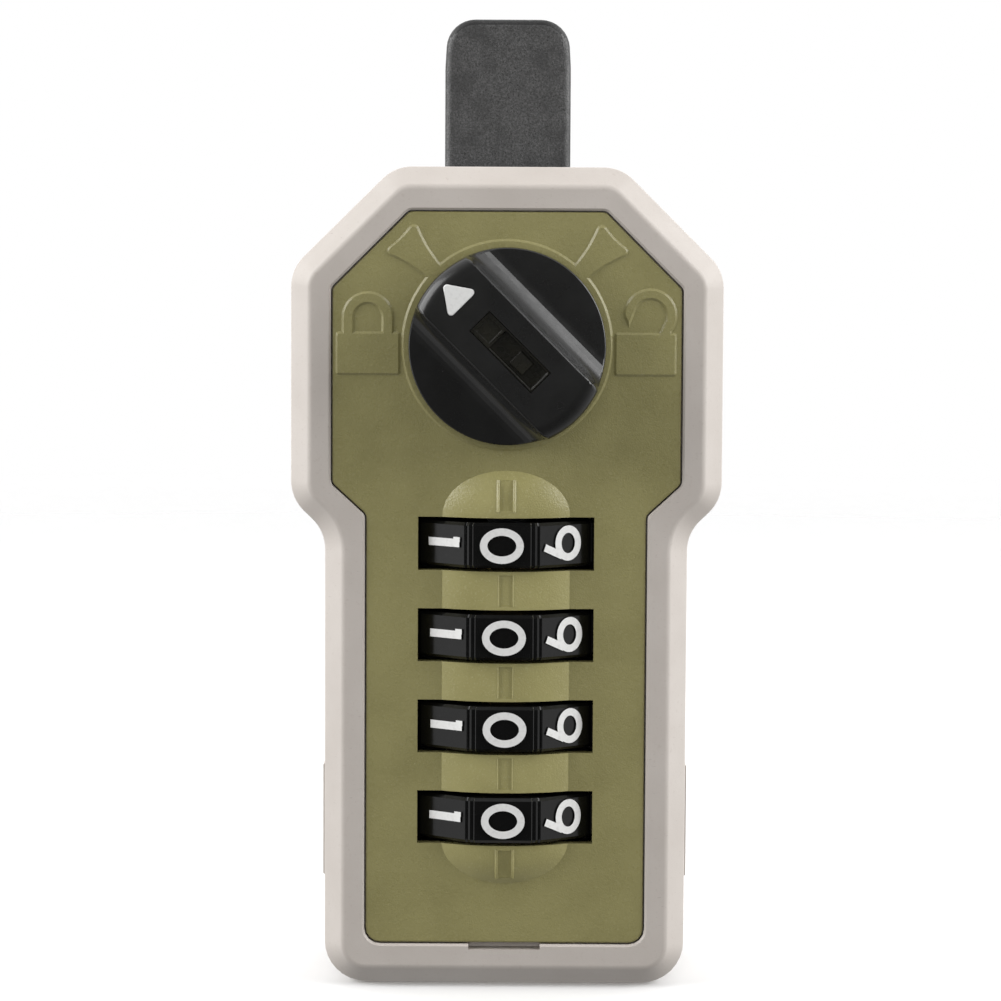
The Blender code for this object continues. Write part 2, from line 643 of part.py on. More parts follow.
def make_axle():
    low, high = EAR_BOTTOM[0] - 1.6 * MM, EAR_TOP[1] + 1.6 * MM
    groove = 0.35 * MM
    clip_seats = ((high - 1.3 * MM, high - 0.5 * MM), (low + 0.5 * MM, low + 1.3 * MM))
    profile = [(0, high), (AXLE_RADIUS - groove, high), (AXLE_RADIUS, high - groove)]
    for seat_low, seat_high in clip_seats:
        profile += [(AXLE_RADIUS, seat_high), (AXLE_RADIUS - groove, seat_high)]
        profile += [(AXLE_RADIUS - groove, seat_low), (AXLE_RADIUS, seat_low)]
    profile += [(AXLE_RADIUS, low + groove), (AXLE_RADIUS - groove, low), (0, low)]
    turned("wheel_axle", sort_profile(profile), "zinc_steel", (0, WHEEL_AXIS_Y, 0), (0, 0, 1), 24)
    for name, (seat_low, _) in zip(("axle_clip_upper", "axle_clip_lower"), clip_seats):
        ring_outline = arc((0, 0), 4.2 * MM, 30, 330, 14) + arc((0, 0), 2.35 * MM, 330, 30, 14)
        clip = add_part(name, slab(name, [ring_outline], 0, 0.6 * MM), "spring_steel")
        clip.rotation_euler = (-math.pi / 2, 0, 0)
        clip.location = (0, WHEEL_AXIS_Y, seat_low + 0.7 * MM)
    place = (0, WHEEL_AXIS_Y, EAR_TOP[0] - GAP - 0.5 * MM)
    ring("thrust_washer", "spring_steel", place, (0, 0, 1), 5.2 * MM, AXLE_BORE + 0.05 * MM, 0.5 * MM, 24)


def sort_profile(profile):
    """Drops points that repeat the one before."""
    kept = [profile[0]]
    for point in profile[1:]:
        if (Vector(point) - Vector(kept[-1])).length > 1e-7:
            kept.append(point)
    return kept


def make_detent_spring():
    """A comb of thin strip: a spine on the carrier's left rail and a finger beside each number wheel."""
    outside = -RAIL_INNER + GAP
    profile = (
        (outside, -13.2 * MM),
        (outside, -15.4 * MM),
        (outside, -16.6 * MM),
        (-15.45 * MM, -18.6 * MM),
        (-15.45 * MM, -19.4 * MM),
        (-16.4 * MM, -21.4 * MM),
    )
    heights = [wheel_z(0) + 3 * MM]
    for index in range(WHEEL_COUNT):
        heights += [wheel_z(index) + 2.2 * MM, wheel_z(index) - 2.2 * MM]
    heights.append(wheel_z(WHEEL_COUNT - 1) - 3 * MM)
    bm = bmesh.new()
    grid = [[bm.verts.new((x, y, z)) for x, y in profile] for z in heights]
    for row in range(len(heights) - 1):
        columns = len(profile) - 1 if row % 2 else 1
        for column in range(columns):
            upper, lower = grid[row], grid[row + 1]
            bm.faces.new((upper[column], upper[column + 1], lower[column + 1], lower[column]))
    bmesh.ops.delete(bm, geom=[vertex for vertex in bm.verts if not vertex.link_faces], context="VERTS")
    bmesh.ops.recalc_face_normals(bm, faces=bm.faces)
    spring = add_part("detent_spring", to_mesh(bm, "detent_spring"), "spring_steel")
    solid = spring.modifiers.new("thickness", "SOLIDIFY")
    solid.thickness = DETENT_THICKNESS
    solid.offset = 0
    for number, z in enumerate(DETENT_SCREW_Z, 1):
        hole = rod("hole", (-18 * MM, DETENT_SPINE_Y, z), (-15 * MM, DETENT_SPINE_Y, z), 0.8 * MM, 12)
        cut(spring, f"hole_{number}", hole)
        head = [(0, 0.8 * MM), (0.9 * MM, 0.8 * MM), (1.4 * MM, 0.4 * MM), (1.4 * MM, 0), (0.5 * MM, 0)]
        shank = [(0.5 * MM, -2 * MM), (0, -2.3 * MM)]
        place = (outside + 0.45 * MM, DETENT_SPINE_Y, z)
        turned(f"detent_screw_{number}", head + shank, "zinc_steel", place, (1, 0, 0), 12)


# ---- number wheels ----


def decagon(radius):
    """Ten corners, with a flat side towards the front."""
    half_step = 180 / DIGITS
    return arc((0, 0), radius, 180 + half_step, 540 - half_step, DIGITS - 1)


def flat_prism(name, outline, z_low, z_high):
    """A prism standing on Z round the wheel axis."""
    mesh = slab(name, [outline], 0, z_high - z_low)
    mesh.transform(Matrix.Translation((0, 0, z_high)) @ Matrix.Rotation(-math.pi / 2, 4, "X"))
    return mesh


def make_wheels():
    for index in range(WHEEL_COUNT):
        centre = Vector((0, WHEEL_AXIS_Y, wheel_z(index)))
        half = WHEEL_THICKNESS / 2
        mesh = flat_prism("wheel", decagon(WHEEL_RADIUS), -half, half)
        wheel = add_part(f"number_wheel_{index + 1}", mesh, "black_plastic")
        wheel.location = centre
        bevel = wheel.modifiers.new("chamfer", "BEVEL")
        bevel.width = 0.4 * MM
        bevel.segments = 1
        bevel.limit_method = "ANGLE"
        bevel.angle_limit = math.radians(60)
        cutter_mesh = flat_prism("bore", decagon(RING_HUB_RADIUS + GAP), -half - MM, half + MM)
        cutter = add_cutter(f"wheel_bore_{index + 1}", cutter_mesh)
        cutter.location = centre
        combine(wheel, cutter)
        make_code_ring(index, centre)


def make_code_ring(index, centre):
    """A keyed hub inside the number wheel, and a gated flange behind it."""
    hub_top = WHEEL_THICKNESS / 2 - 0.2 * MM
    hub_bottom = -8.0 * MM if index == WHEEL_COUNT - 1 else -WHEEL_PITCH + WHEEL_THICKNESS / 2 + GAP
    middle = -WHEEL_PITCH / 2
    mesh = flat_prism("code_ring", decagon(RING_HUB_RADIUS), hub_bottom, hub_top)
    code_ring = add_part(f"code_ring_{index + 1}", mesh, "brass")
    code_ring.location = centre
    gate_angle = math.degrees(math.asin(GATE_HALF / RING_RADIUS))
    gate = [(GATE_HALF, GATE_FLOOR), (-GATE_HALF, GATE_FLOOR)]
    outline = arc((0, 0), RING_RADIUS, gate_angle, 360 - gate_angle, 30) + [gate[1], gate[0]]
    flange = flat_prism("flange", outline, middle - RING_THICKNESS / 2, middle + RING_THICKNESS / 2)
    flange_object = add_cutter(f"code_flange_{index + 1}", flange)
    flange_object.location = centre
    combine(code_ring, flange_object, "UNION")
    bore = rod("bore", (0, 0, hub_bottom - MM), (0, 0, hub_top + MM), AXLE_BORE, 24)
    bore_object = add_cutter(f"code_bore_{index + 1}", bore)
    bore_object.location = centre
    combine(code_ring, bore_object)


# ---- locking bar ----


def make_locking_bar():
    """A flat bar behind the wheels, with a tab forward at each code ring and one that presses the spring."""
    corners = (
        (BAR_HALF, BAR_TOP, MM),
        (BAR_HALF, FOOT_TOP, 0.5 * MM),
        (FOOT_HALF, FOOT_TOP, 0.5 * MM),
        (FOOT_HALF, BAR_END, 0.5 * MM),
    )
    slot_radius = RIVET_SHANK + 0.2 * MM
    slots = [
        arc((x, z + BAR_TRAVEL), slot_radius, -90, 90, 6) + arc((x, z), slot_radius, 90, 270, 6)
        for x, z in RIVETS
    ]
    outline = rounded(mirrored(corners), 3)
    bar = add_part("locking_bar", slab("locking_bar", [outline, *slots], BAR_FRONT, BAR_BACK), "zinc_steel")
    bar_pin_hole = rod_y("hole", 0, FOLLOWER_Z, -5 * MM, -MM, FOLLOWER_RADIUS - 0.2 * MM + GAP, 16)
    cut(bar, "pin_hole", bar_pin_hole)
    for index in range(WHEEL_COUNT):
        top = wheel_z(index) - WHEEL_PITCH / 2 + RING_THICKNESS / 2 + GAP + TAB_THICKNESS
        low = (-TAB_HALF, WHEEL_AXIS_Y + TAB_TIP, top - TAB_THICKNESS)
        high = (TAB_HALF, BAR_FRONT + 0.5 * MM, top)
        join(bar, f"tab_{index + 1}", box("tab", low, high))
    low = (-2.5 * MM, -11.5 * MM, BAR_END)
    high = (2.5 * MM, BAR_FRONT + 0.5 * MM, BAR_END + 1.2 * MM)
    join(bar, "spring_tab", box("tab", low, high))
    pin_end = BAR_BACK - 0.1 * MM
    shank = FOLLOWER_RADIUS - 0.2 * MM
    head_back = BAR_FRONT - GAP
    profile = [(0, pin_end), (shank, pin_end), (shank, head_back), (FOLLOWER_RADIUS, head_back)]
    profile += [(FOLLOWER_RADIUS, CAM_FRONT), (0, CAM_FRONT)]
    turned("follower_pin", profile, "spring_steel", (0, 0, FOLLOWER_Z), (0, 1, 0), 20)


def make_guide_rivets():
    for number, (x, z) in enumerate(RIVETS, 1):
        back = -0.1 * MM
        head = BAR_FRONT - 0.2 * MM
        profile = [(0, back), (RIVET_SHANK, back), (RIVET_SHANK, head), (RIVET_HEAD, head)]
        profile += [(RIVET_HEAD, head - 0.5 * MM), (0, head - 0.5 * MM)]
        turned(f"guide_rivet_{number}", profile, "zinc_steel", (x, 0, z), (0, 1, 0), 16)


def make_return_spring():
    """A compression coil under the bar, with closed ends."""
    turns, coil_radius, wire = 4.5, 2.1 * MM, 0.25 * MM
    top, bottom = SPRING_TOP - wire, SPRING_BOTTOM + wire
    steps = int(turns * 14)
    curve = bpy.data.curves.new("return_spring", "CURVE")
    curve.dimensions = "3D"
    curve.bevel_depth = wire
    curve.bevel_resolution = 1
    curve.use_fill_caps = True
    spline = curve.splines.new("POLY")
    spline.points.add(steps)
    for step, point in enumerate(spline.points):
        along = step / steps
        angle = 2 * math.pi * turns * along
        height = bottom + (top - bottom) * along
        point.co = (coil_radius * math.cos(angle), coil_radius * math.sin(angle), height, 1)
    curve.materials.append(MATERIALS["spring_steel"])
    spring = bpy.data.objects.new("return_spring", curve)
    PARTS.objects.link(spring)
    spring.location = (0, SPRING_Y, 0)


# ---- knob train ----


def turned_to_grip(mesh):
    """Turns a mesh about the knob's axis so that its +Z direction runs along the grip."""
    mesh.transform(Matrix.Rotation(GRIP_TURN, 4, "Y"))
    return mesh


def scoop_outline():
    """The (x, y) section cut away beside the grip: steep wall, rounded foot and a floor falling outwards."""
    far = 20 * MM
    floor = KNOB_FRONT + SCOOP_DEPTH
    return rounded(
        (
            (GRIP_HALF, KNOB_FRONT - MM, 0),
            (far, KNOB_FRONT - MM, 0),
            (far, floor + SCOOP_FALL * (far - GRIP_HALF), 0),
            (GRIP_HALF + SCOOP_DRAFT, floor, SCOOP_FILLET),
            (GRIP_HALF, KNOB_FRONT, 0),
        ),
        6,
    )


def make_knob():
    """A round knob cut away on both sides of a straight grip, with a hub behind it."""
    edge, inset = 1.2 * MM, 0.35 * MM
    profile = [(0, KNOB_FRONT), (KNOB_RADIUS - edge, KNOB_FRONT)]
    profile += [(KNOB_RADIUS - inset, KNOB_FRONT + inset), (KNOB_RADIUS, KNOB_FRONT + edge)]
    profile += [(KNOB_RADIUS, KNOB_BACK), (KNOB_HUB_RADIUS, KNOB_BACK)]
    profile += [(KNOB_HUB_RADIUS, CAM_FRONT - GAP), (0, CAM_FRONT - GAP)]
    flipped = [(radius, -y) for radius, y in profile]
    knob = turned("knob", flipped, "black_plastic", (0, 0, 0), (0, -1, 0), 48)
    for side in (-1, 1):
        outline = [(side * x, y) for x, y in scoop_outline()]
        scoop = turned_to_grip(flat_prism("scoop", outline, -18 * MM, 18 * MM))
        cut(knob, f"scoop_{side}", scoop)
    socket = turned_to_grip(slab("socket", [square(SPINDLE_SQUARE / 2 + GAP)], KNOB_FRONT + 5 * MM, 0))
    cut(knob, "socket", socket)
    recess = turned_to_grip(box("recess", KEYWAY_LOW, KEYWAY_HIGH))
    cut(knob, "key_recess", recess)
    seat = offset_outline(POINTER_CORNERS, 0.1 * MM)
    seat_mesh = slab("seat", [rounded(seat, 3)], KNOB_FRONT - MM, KNOB_FRONT + POINTER_DEPTH + 0.1 * MM)
    cut(knob, "pointer_seat", turned_to_grip(seat_mesh))


def make_keyway_insert():
    low = (KEYWAY_LOW[0] + GAP, KNOB_FRONT + 0.3 * MM, KEYWAY_LOW[2] + GAP)
    high = (KEYWAY_HIGH[0] - GAP, KEYWAY_HIGH[1] - GAP, KEYWAY_HIGH[2] - GAP)
    insert = add_part("keyway_insert", turned_to_grip(box("keyway_insert", low, high)), "black_plastic")
    slot_low = (-0.9 * MM, KNOB_FRONT, -5.2 * MM)
    slot_high = (0.9 * MM, KNOB_FRONT + 1.6 * MM, 2.2 * MM)
    cut(insert, "slot", turned_to_grip(box("slot", slot_low, slot_high)))


def make_pointer():
    mesh = slab("pointer_mark", [rounded(POINTER_CORNERS, 3)], KNOB_FRONT, KNOB_FRONT + POINTER_DEPTH)
    add_part("pointer_mark", turned_to_grip(mesh), "white_mark")


def make_spindle():
    """A shaft that is square in the knob and the cam, round in the collar and square again in the tongue."""
    front = KNOB_FRONT + 5.3 * MM
    half = SPINDLE_SQUARE / 2
    mesh = turned_to_grip(slab("spindle", [square(half)], front, 17.4 * MM))
    spindle = add_part("spindle", mesh, "zinc_steel")
    journal = rod_y("journal", 0, 0, -4.9 * MM, 14.2 * MM, SPINDLE_RADIUS)
    join(spindle, "journal", journal)
    low_y, high_y = SPINDLE_GROOVE
    groove = add_cutter("spindle_groove", rod_y("groove", 0, 0, low_y, high_y, 6 * MM, 32))
    core = rod_y("core", 0, 0, low_y - MM, high_y + MM, GROOVE_RADIUS, 32)
    combine(groove, add_cutter("spindle_core", core))
    combine(spindle, groove)
    cut(spindle, "screw_bore", rod_y("bore", 0, 0, 6 * MM, 19 * MM, 2.4 * MM, 20))
    outline = arc((0, 0), 6.4 * MM, 40, 320, 16) + arc((0, 0), GROOVE_RADIUS + GAP, 320, 40, 16)
    clip = slab("spindle_clip", [outline], low_y + 0.05 * MM, high_y - 0.05 * MM)
    add_part("spindle_clip", clip, "spring_steel")


def cam_radius(angle):
    """Spiral from the low dwell at 180 degrees up to the high dwell at 90 degrees."""
    share = min(max((180 - angle) / 90, 0), 1)
    return CAM_START + BAR_TRAVEL * share


def make_drive_cam():
    """A fan-shaped cam: each degree of knob turn pushes the follower pin down by the same amount."""
    step = 7.5
    lobe = []
    for count in range(int((195 - 75) / step) + 1):
        angle = 75 + count * step
        radius = cam_radius(angle)
        lobe.append((radius * math.sin(math.radians(angle)), radius * math.cos(math.radians(angle))))
    outline = lobe + arc((0, 0), 7 * MM, 215, 415, 20)
    hole = [Matrix.Rotation(-GRIP_TURN, 2) @ Vector(p) for p in square(SPINDLE_SQUARE / 2 + GAP)]
    add_part("drive_cam", slab("drive_cam", [outline, hole], CAM_FRONT, CAM_BACK), "zinc_steel")


def make_tongue():
    back = TONGUE_FRONT + TONGUE_THICKNESS
    corners = (
        (TONGUE_HALF, TONGUE_TIP, 4.1 * MM),
        (TONGUE_HALF, -TONGUE_HALF, 7.5 * MM),
        (-TONGUE_HALF, -TONGUE_HALF, 7.5 * MM),
        (-TONGUE_HALF, TONGUE_TIP, 4.1 * MM),
    )
    hole = [Matrix.Rotation(-GRIP_TURN, 2) @ Vector(p) for p in square(SPINDLE_SQUARE / 2 + GAP)]
    mesh = slab("tongue", [rounded(corners, 5)], TONGUE_FRONT, back)
    mesh = bevel_loop(mesh, TONGUE_FRONT, 0.6 * MM, 2)
    tongue = add_part("tongue", bevel_loop(mesh, back, 0.6 * MM, 2), "dark_cast")
    cut(tongue, "square_hole", slab("hole", [hole], TONGUE_FRONT - MM, back + MM))
    ring("tongue_washer", "spring_steel", (0, back + GAP, 0), (0, 1, 0), 6.5 * MM, 2.6 * MM, MM, 32)
    hexagon = arc((0, 0), 5.2 * MM, 30, 330, 5)
    head_front = back + MM + 2 * GAP
    head = slab("tongue_screw", [hexagon], head_front, head_front + 3.6 * MM)
    screw = add_part("tongue_screw", head, "zinc_steel")
    join(screw, "shank", rod_y("shank", 0, 0, 8 * MM, head_front + MM, 2.1 * MM, 20))


make_front_frame()
make_face_plate()
make_rear_plate()
make_threaded_collar()
make_collar_fastening()
make_rear_fasteners()
make_wheel_carrier()
make_axle()
make_detent_spring()
make_wheels()
make_locking_bar()
make_guide_rivets()
make_return_spring()
make_knob()
make_keyway_insert()
make_pointer()
make_spindle()
make_drive_cam()
make_tongue()
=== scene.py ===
"""Looks of the four-dial combination cam lock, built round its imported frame.

Metres, +Z up. The front faces -Y, and the origin is where the knob's axis meets the rear mounting face.
"""

import math

import bmesh
import bpy
from mathutils import Matrix, Vector


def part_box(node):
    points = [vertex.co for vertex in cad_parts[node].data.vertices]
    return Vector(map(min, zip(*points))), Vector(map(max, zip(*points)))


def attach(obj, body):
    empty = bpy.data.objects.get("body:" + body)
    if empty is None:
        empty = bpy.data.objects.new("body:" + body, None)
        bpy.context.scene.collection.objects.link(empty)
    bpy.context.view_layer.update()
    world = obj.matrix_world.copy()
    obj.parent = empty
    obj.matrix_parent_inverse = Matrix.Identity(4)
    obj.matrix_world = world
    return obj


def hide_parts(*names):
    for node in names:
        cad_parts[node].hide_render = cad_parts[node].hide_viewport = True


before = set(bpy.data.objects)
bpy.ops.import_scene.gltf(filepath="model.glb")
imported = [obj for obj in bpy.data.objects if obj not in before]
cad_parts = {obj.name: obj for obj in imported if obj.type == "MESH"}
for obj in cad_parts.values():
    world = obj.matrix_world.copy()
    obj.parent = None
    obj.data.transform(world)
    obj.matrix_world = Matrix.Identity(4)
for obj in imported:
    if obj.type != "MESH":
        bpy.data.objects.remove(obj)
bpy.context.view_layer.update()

MM = 0.001

# Places and sizes read from the frame
FRAME_LOW, FRAME_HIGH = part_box("front_frame")
PLATE_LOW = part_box("face_plate")[0]
KNOB_LOW, KNOB_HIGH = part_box("knob")
TONGUE_LOW, TONGUE_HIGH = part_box("tongue")
COLLAR_LOW, COLLAR_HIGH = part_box("threaded_collar")
NUT_LOW, NUT_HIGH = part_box("collar_nut")
LOCK_LOW, LOCK_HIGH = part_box("lock_washer")
SCREW_LOW, SCREW_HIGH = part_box("tongue_screw")
KEYWAY_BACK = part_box("keyway_insert")[1].y
REAR_SCREWS = [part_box(f"rear_screw_{number}") for number in range(1, 5)]
CARRIER_SCREWS = [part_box(f"carrier_screw_{number}") for number in range(1, 5)]
WHEEL_COUNT = 4
WHEEL_BOXES = [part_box(f"number_wheel_{number}") for number in range(1, WHEEL_COUNT + 1)]

# Body
HEAD_HALF = FRAME_HIGH.x
NECK_HALF = 25.0 * MM
BODY_FRONT = FRAME_LOW.y
BODY_TOP = FRAME_HIGH.z
BODY_BOTTOM = FRAME_LOW.z
CORNER_RADIUS = 5.8 * MM
WALL = 2.3 * MM
FRONT_CHAMFER = 2.85 * MM
CHAMFER_SLOPE = math.radians(48)
CHAMFER_INNER_ARC = 1.1 * MM
CHAMFER_OUTER_ARC = 0.6 * MM
LIP_THICKNESS = 3.4 * MM
PAD_HEIGHT = 0.35 * MM
NOTCH_LOW = (-4.95 * MM, -83.75 * MM)
NOTCH_HIGH = (4.95 * MM, -82.2 * MM)

# Face plate
MARK_HEIGHT = 0.26 * MM
MARK_SLOPE = 0.32 * MM
PLATE_FRONT = BODY_FRONT + 0.3 * MM
PLATE_THICKNESS = 2.0 * MM
RIDGE_HEIGHT = PLATE_FRONT - PLATE_LOW.y
RIDGE_HALF = 8.75 * MM
RIDGE_END = 6.1 * MM
RIDGE_TOP = -17.2 * MM
RIDGE_BOTTOM = -74.5 * MM
RIDGE_RADIUS = (RIDGE_HALF**2 + RIDGE_HEIGHT**2) / (2 * RIDGE_HEIGHT)
WINDOW_SIZE = (24.2 * MM, 7.35 * MM)
INDEX_HALF = (0.9 * MM, 2.15 * MM)
INDEX_DEPTH = 0.24 * MM
DIAL_RADIUS = 14.2 * MM
KNOB_HOLE_RADIUS = 7.6 * MM
CLOSED_PADLOCK = ((-23.2 * MM, -14.9 * MM), (-19.05 * MM, 3.7 * MM))  # its two sides, its shackle's centre
OPEN_PADLOCK = ((14.95 * MM, 22.9 * MM), (19.55 * MM, 4.15 * MM))
SNAP_LEGS = ((22.7 * MM, 2.0 * MM), (18.0 * MM, -47.5 * MM), (18.0 * MM, -75.0 * MM))

# Number wheels
DIGITS = 10
WHEEL_RADIUS = 15.0 * MM
WHEEL_AXIS_Y = -19.0 * MM
WHEEL_HALF = (WHEEL_BOXES[0][1].z - WHEEL_BOXES[0][0].z) / 2
WHEEL_Z = [(low.z + high.z) / 2 for low, high in WHEEL_BOXES]
WHEEL_PITCH = WHEEL_Z[0] - WHEEL_Z[1]
INDEX_Z = [WHEEL_Z[0] + WHEEL_PITCH * (0.5 - index) for index in range(WHEEL_COUNT + 1)]
INDEX_Z[0] += 0.35 * MM
WHEEL_REST_TURNS = (-2.3, -0.9, -0.35, -1.0)  # degrees that each wheel sits off centre in its window
HUB_RADIUS = 6.8 * MM
FIGURE_HALF = 0.57 * MM  # half the width of a figure's lines
FIGURE_ONE_HALF = 0.62 * MM
FIGURE_TAPER = 0.06 * MM
FIGURE_HEIGHT = 0.26 * MM
FIGURE_ROOT = 0.12 * MM

# Knob
KNOB_RADIUS = (KNOB_HIGH.x - KNOB_LOW.x) / 2
KNOB_FRONT = KNOB_LOW.y
KNOB_BACK = PLATE_FRONT - 0.6 * MM
GRIP_HALF = 4.85 * MM
GRIP_TURN = math.radians(-45)  # the grip points at the closed mark
GRIP_EASE = 0.4 * MM
SCOOP_HALF_LENGTH = 12.55 * MM
SCOOP_FLARE = (6.53 * MM, 2.52 * MM)  # how far the scoop's ends run inwards and outwards
SCOOP_WALL = 3.1 * MM
SCOOP_DRAFT = 0.3 * MM
SCOOP_FILLET = 3.6 * MM
SCOOP_FALL = 0.13  # drop of the floor for each unit outwards
KEYWAY_HALF = 1.9 * MM
KEYWAY_ENDS = (-6.4 * MM, 5.3 * MM)
KEYWAY_GAP = 0.04 * MM
SOCKET_HALF = 3.3 * MM
SOCKET = [(x * SOCKET_HALF, z * SOCKET_HALF) for x, z in ((-1, 1), (1, 1), (1, -1), (-1, -1))]

# Studio
WORLD_RAMPS = (  # (axis, where the ramp starts and ends, how strong the light is before and past it)
    ("Y", -0.9, 0.2, 0.1, 1.75),
    ("Z", -0.7, 0.1, 0.3, 1.0),
    ("Z", 0.3, 0.9, 1.0, 0.65),
)


# ---- shared mesh tools ----


def arc(centre, radius, start, end, steps):
    """Points round a centre, with angles in degrees from +Z towards +X."""
    return [
        Vector((centre[0] + radius * math.sin(angle), centre[1] + radius * math.cos(angle)))
        for angle in (math.radians(start + (end - start) * i / steps) for i in range(steps + 1))
    ]


def circle(radius, steps, centre=(0, 0)):
    return arc(centre, radius, 0, 360 * (steps - 1) / steps, steps - 1)


def rounded(corners, steps=8):
    """A closed outline from (x, z, radius) corners, each rounded by an arc."""
    points = []
    for index, (x, z, radius) in enumerate(corners):
        here = Vector((x, z))
        back = (Vector(corners[index - 1][:2]) - here).normalized()
        onward = (Vector(corners[(index + 1) % len(corners)][:2]) - here).normalized()
        half = back.angle(onward) / 2
        if radius <= 0 or half > math.radians(89):
            points.append(here)
            continue
        reach = radius / math.tan(half)
        centre = here + (back + onward).normalized() * radius / math.sin(half)
        first = here + back * reach - centre
        last = here + onward * reach - centre
        sweep = first.angle_signed(last)
        for step in range(steps + 1):
            points.append(centre + Matrix.Rotation(-sweep * step / steps, 2) @ first)
    return points


def mirrored(right_half):
    """The whole outline of (x, z, radius) corners from its right half, which runs from top to bottom."""
    return list(right_half) + [(-x, z, radius) for x, z, radius in reversed(right_half)]


def moved_out(points, distance):
    """A clockwise outline with each side moved outwards, or inwards if negative."""
    moved = []
    for index, point in enumerate(points):
        here = Vector(point[:2])
        back = (here - Vector(points[index - 1][:2])).normalized()
        onward = (Vector(points[(index + 1) % len(points)][:2]) - here).normalized()
        out_back = Vector((-back.y, back.x))
        out_onward = Vector((-onward.y, onward.x))
        shift = (out_back + out_onward) * distance / (1 + out_back.dot(out_onward))
        moved.append(here + shift)
    return moved


def resized(corners, distance):
    """A clockwise (x, z, radius) outline with its sides moved outwards and its arcs kept concentric."""
    places = moved_out(corners, distance)
    result = []
    for index, (x, z, radius) in enumerate(corners):
        here = Vector((x, z))
        back = here - Vector(corners[index - 1][:2])
        onward = Vector(corners[(index + 1) % len(corners)][:2]) - here
        bulges = back.x * onward.y - back.y * onward.x < 0
        grown = max(radius + (distance if bulges else -distance), 0.05 * MM)
        result.append((places[index].x, places[index].y, grown if radius > 0 else 0))
    return result


def mesh_from(bm, name):
    bmesh.ops.recalc_face_normals(bm, faces=bm.faces)
    mesh = bpy.data.meshes.new(name)
    bm.to_mesh(mesh)
    bm.free()
    return mesh


def loft(name, levels):
    """A solid through a stack of (outline, y) levels whose outlines have the same number of points."""
    bm = bmesh.new()
    loops = [[bm.verts.new((p[0], y, p[1])) for p in outline] for outline, y in levels]
    for upper, lower in zip(loops, loops[1:]):
        for i in range(len(upper)):
            j = (i + 1) % len(upper)
            bm.faces.new((upper[i], upper[j], lower[j], lower[i]))
    bm.faces.new(loops[0])
    bm.faces.new(loops[-1])
    return mesh_from(bm, name)


def prism(name, outline, low, high):
    return loft(name, [(outline, low), (outline, high)])


def box(name, low, high):
    outline = [(low[0], high[2]), (high[0], high[2]), (high[0], low[2]), (low[0], low[2])]
    return prism(name, outline, low[1], high[1])


def revolved(name, profile, steps, centre=(0, 0)):
    """A solid turned about the Y direction, from (radius, y) points front to back."""
    return loft(name, [(circle(radius, steps, centre), y) for radius, y in profile])


def rod(name, radius, front, back, steps, centre=(0, 0)):
    return revolved(name, [(radius, front), (radius, back)], steps, centre)


def standing(mesh):
    """Turns a mesh made along Y so that it stands on Z, with its outline's z running to +Y."""
    mesh.transform(Matrix.Rotation(-math.pi / 2, 4, "X"))
    return mesh


def fillet_levels(corners, edge, radius, inwards, steps=6, points=8):
    """Levels of a rounded edge: from the face at edge down to the full outline, a radius further in."""
    levels = []
    for step in range(steps + 1):
        angle = math.pi / 2 * step / steps
        shrink = radius * (1 - math.sin(angle))
        depth = radius * (1 - math.cos(angle))
        levels.append((rounded(resized(corners, -shrink), points), edge + inwards * depth))
    return levels


CUT, JOIN = "DIFFERENCE", "UNION"


def placed(name, data):
    """A new object in the scene."""
    obj = bpy.data.objects.new(name, data)
    bpy.context.scene.collection.objects.link(obj)
    return obj


def solid(name, mesh, steps=()):
    """An object from a mesh and its (operation, mesh) steps, applied one after another."""
    obj = placed(name, mesh)
    tools = []
    for operation, tool_mesh in steps:
        tool = placed("tool", tool_mesh)
        tools.append(tool)
        modifier = obj.modifiers.new("shape", "BOOLEAN")
        modifier.operation = operation
        modifier.object = tool
    apply_modifiers(obj)
    for tool in tools:
        bpy.data.objects.remove(tool)
    return obj


def apply_modifiers(obj):
    bpy.context.view_layer.update()
    evaluated = obj.evaluated_get(bpy.context.evaluated_depsgraph_get())
    mesh = bpy.data.meshes.new_from_object(evaluated)
    obj.modifiers.clear()
    obj.data = mesh


def weld(obj, distance):
    """Merges vertices that nearly touch, which would stop an edge from being rounded."""
    bm = bmesh.new()
    bm.from_mesh(obj.data)
    bmesh.ops.remove_doubles(bm, verts=bm.verts, dist=distance)
    bm.to_mesh(obj.data)
    bm.free()


def soften(obj, width, segments=2, limit=50, clamp=True):
    """Rounds every edge sharper than the limit. Clamped, no rounding grows past its neighbour."""
    bevel = obj.modifiers.new("edges", "BEVEL")
    bevel.width = width
    bevel.segments = segments
    bevel.limit_method = "ANGLE"
    bevel.angle_limit = math.radians(limit)
    bevel.use_clamp_overlap = clamp
    bevel.miter_outer = "MITER_ARC"
    apply_modifiers(obj)


def finished(obj, materials, smooth=32):
    """Gives an object its materials and smooth shading between its sharp edges."""
    mesh = obj.data
    for polygon in mesh.polygons:
        polygon.material_index = min(polygon.material_index, len(materials) - 1)
    mesh.materials.clear()
    for material in materials:
        mesh.materials.append(material)
    mesh.shade_smooth()
    mesh.set_sharp_from_angle(angle=math.radians(smooth))
    weighted = obj.modifiers.new("normals", "WEIGHTED_NORMAL")
    weighted.keep_sharp = True
    return obj


def install(obj, body, slot, *nodes):
    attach(obj, body)
    if nodes:
        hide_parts(*nodes)


def copy_at(obj, name, offset):
    """Another object on the same mesh."""
    twin = obj.copy()
    twin.name = name
    twin.location = Vector(offset)
    bpy.context.scene.collection.objects.link(twin)
    return twin


# ---- materials ----


RANGE_SOCKETS = ("From Min", "From Max", "To Min", "To Max")


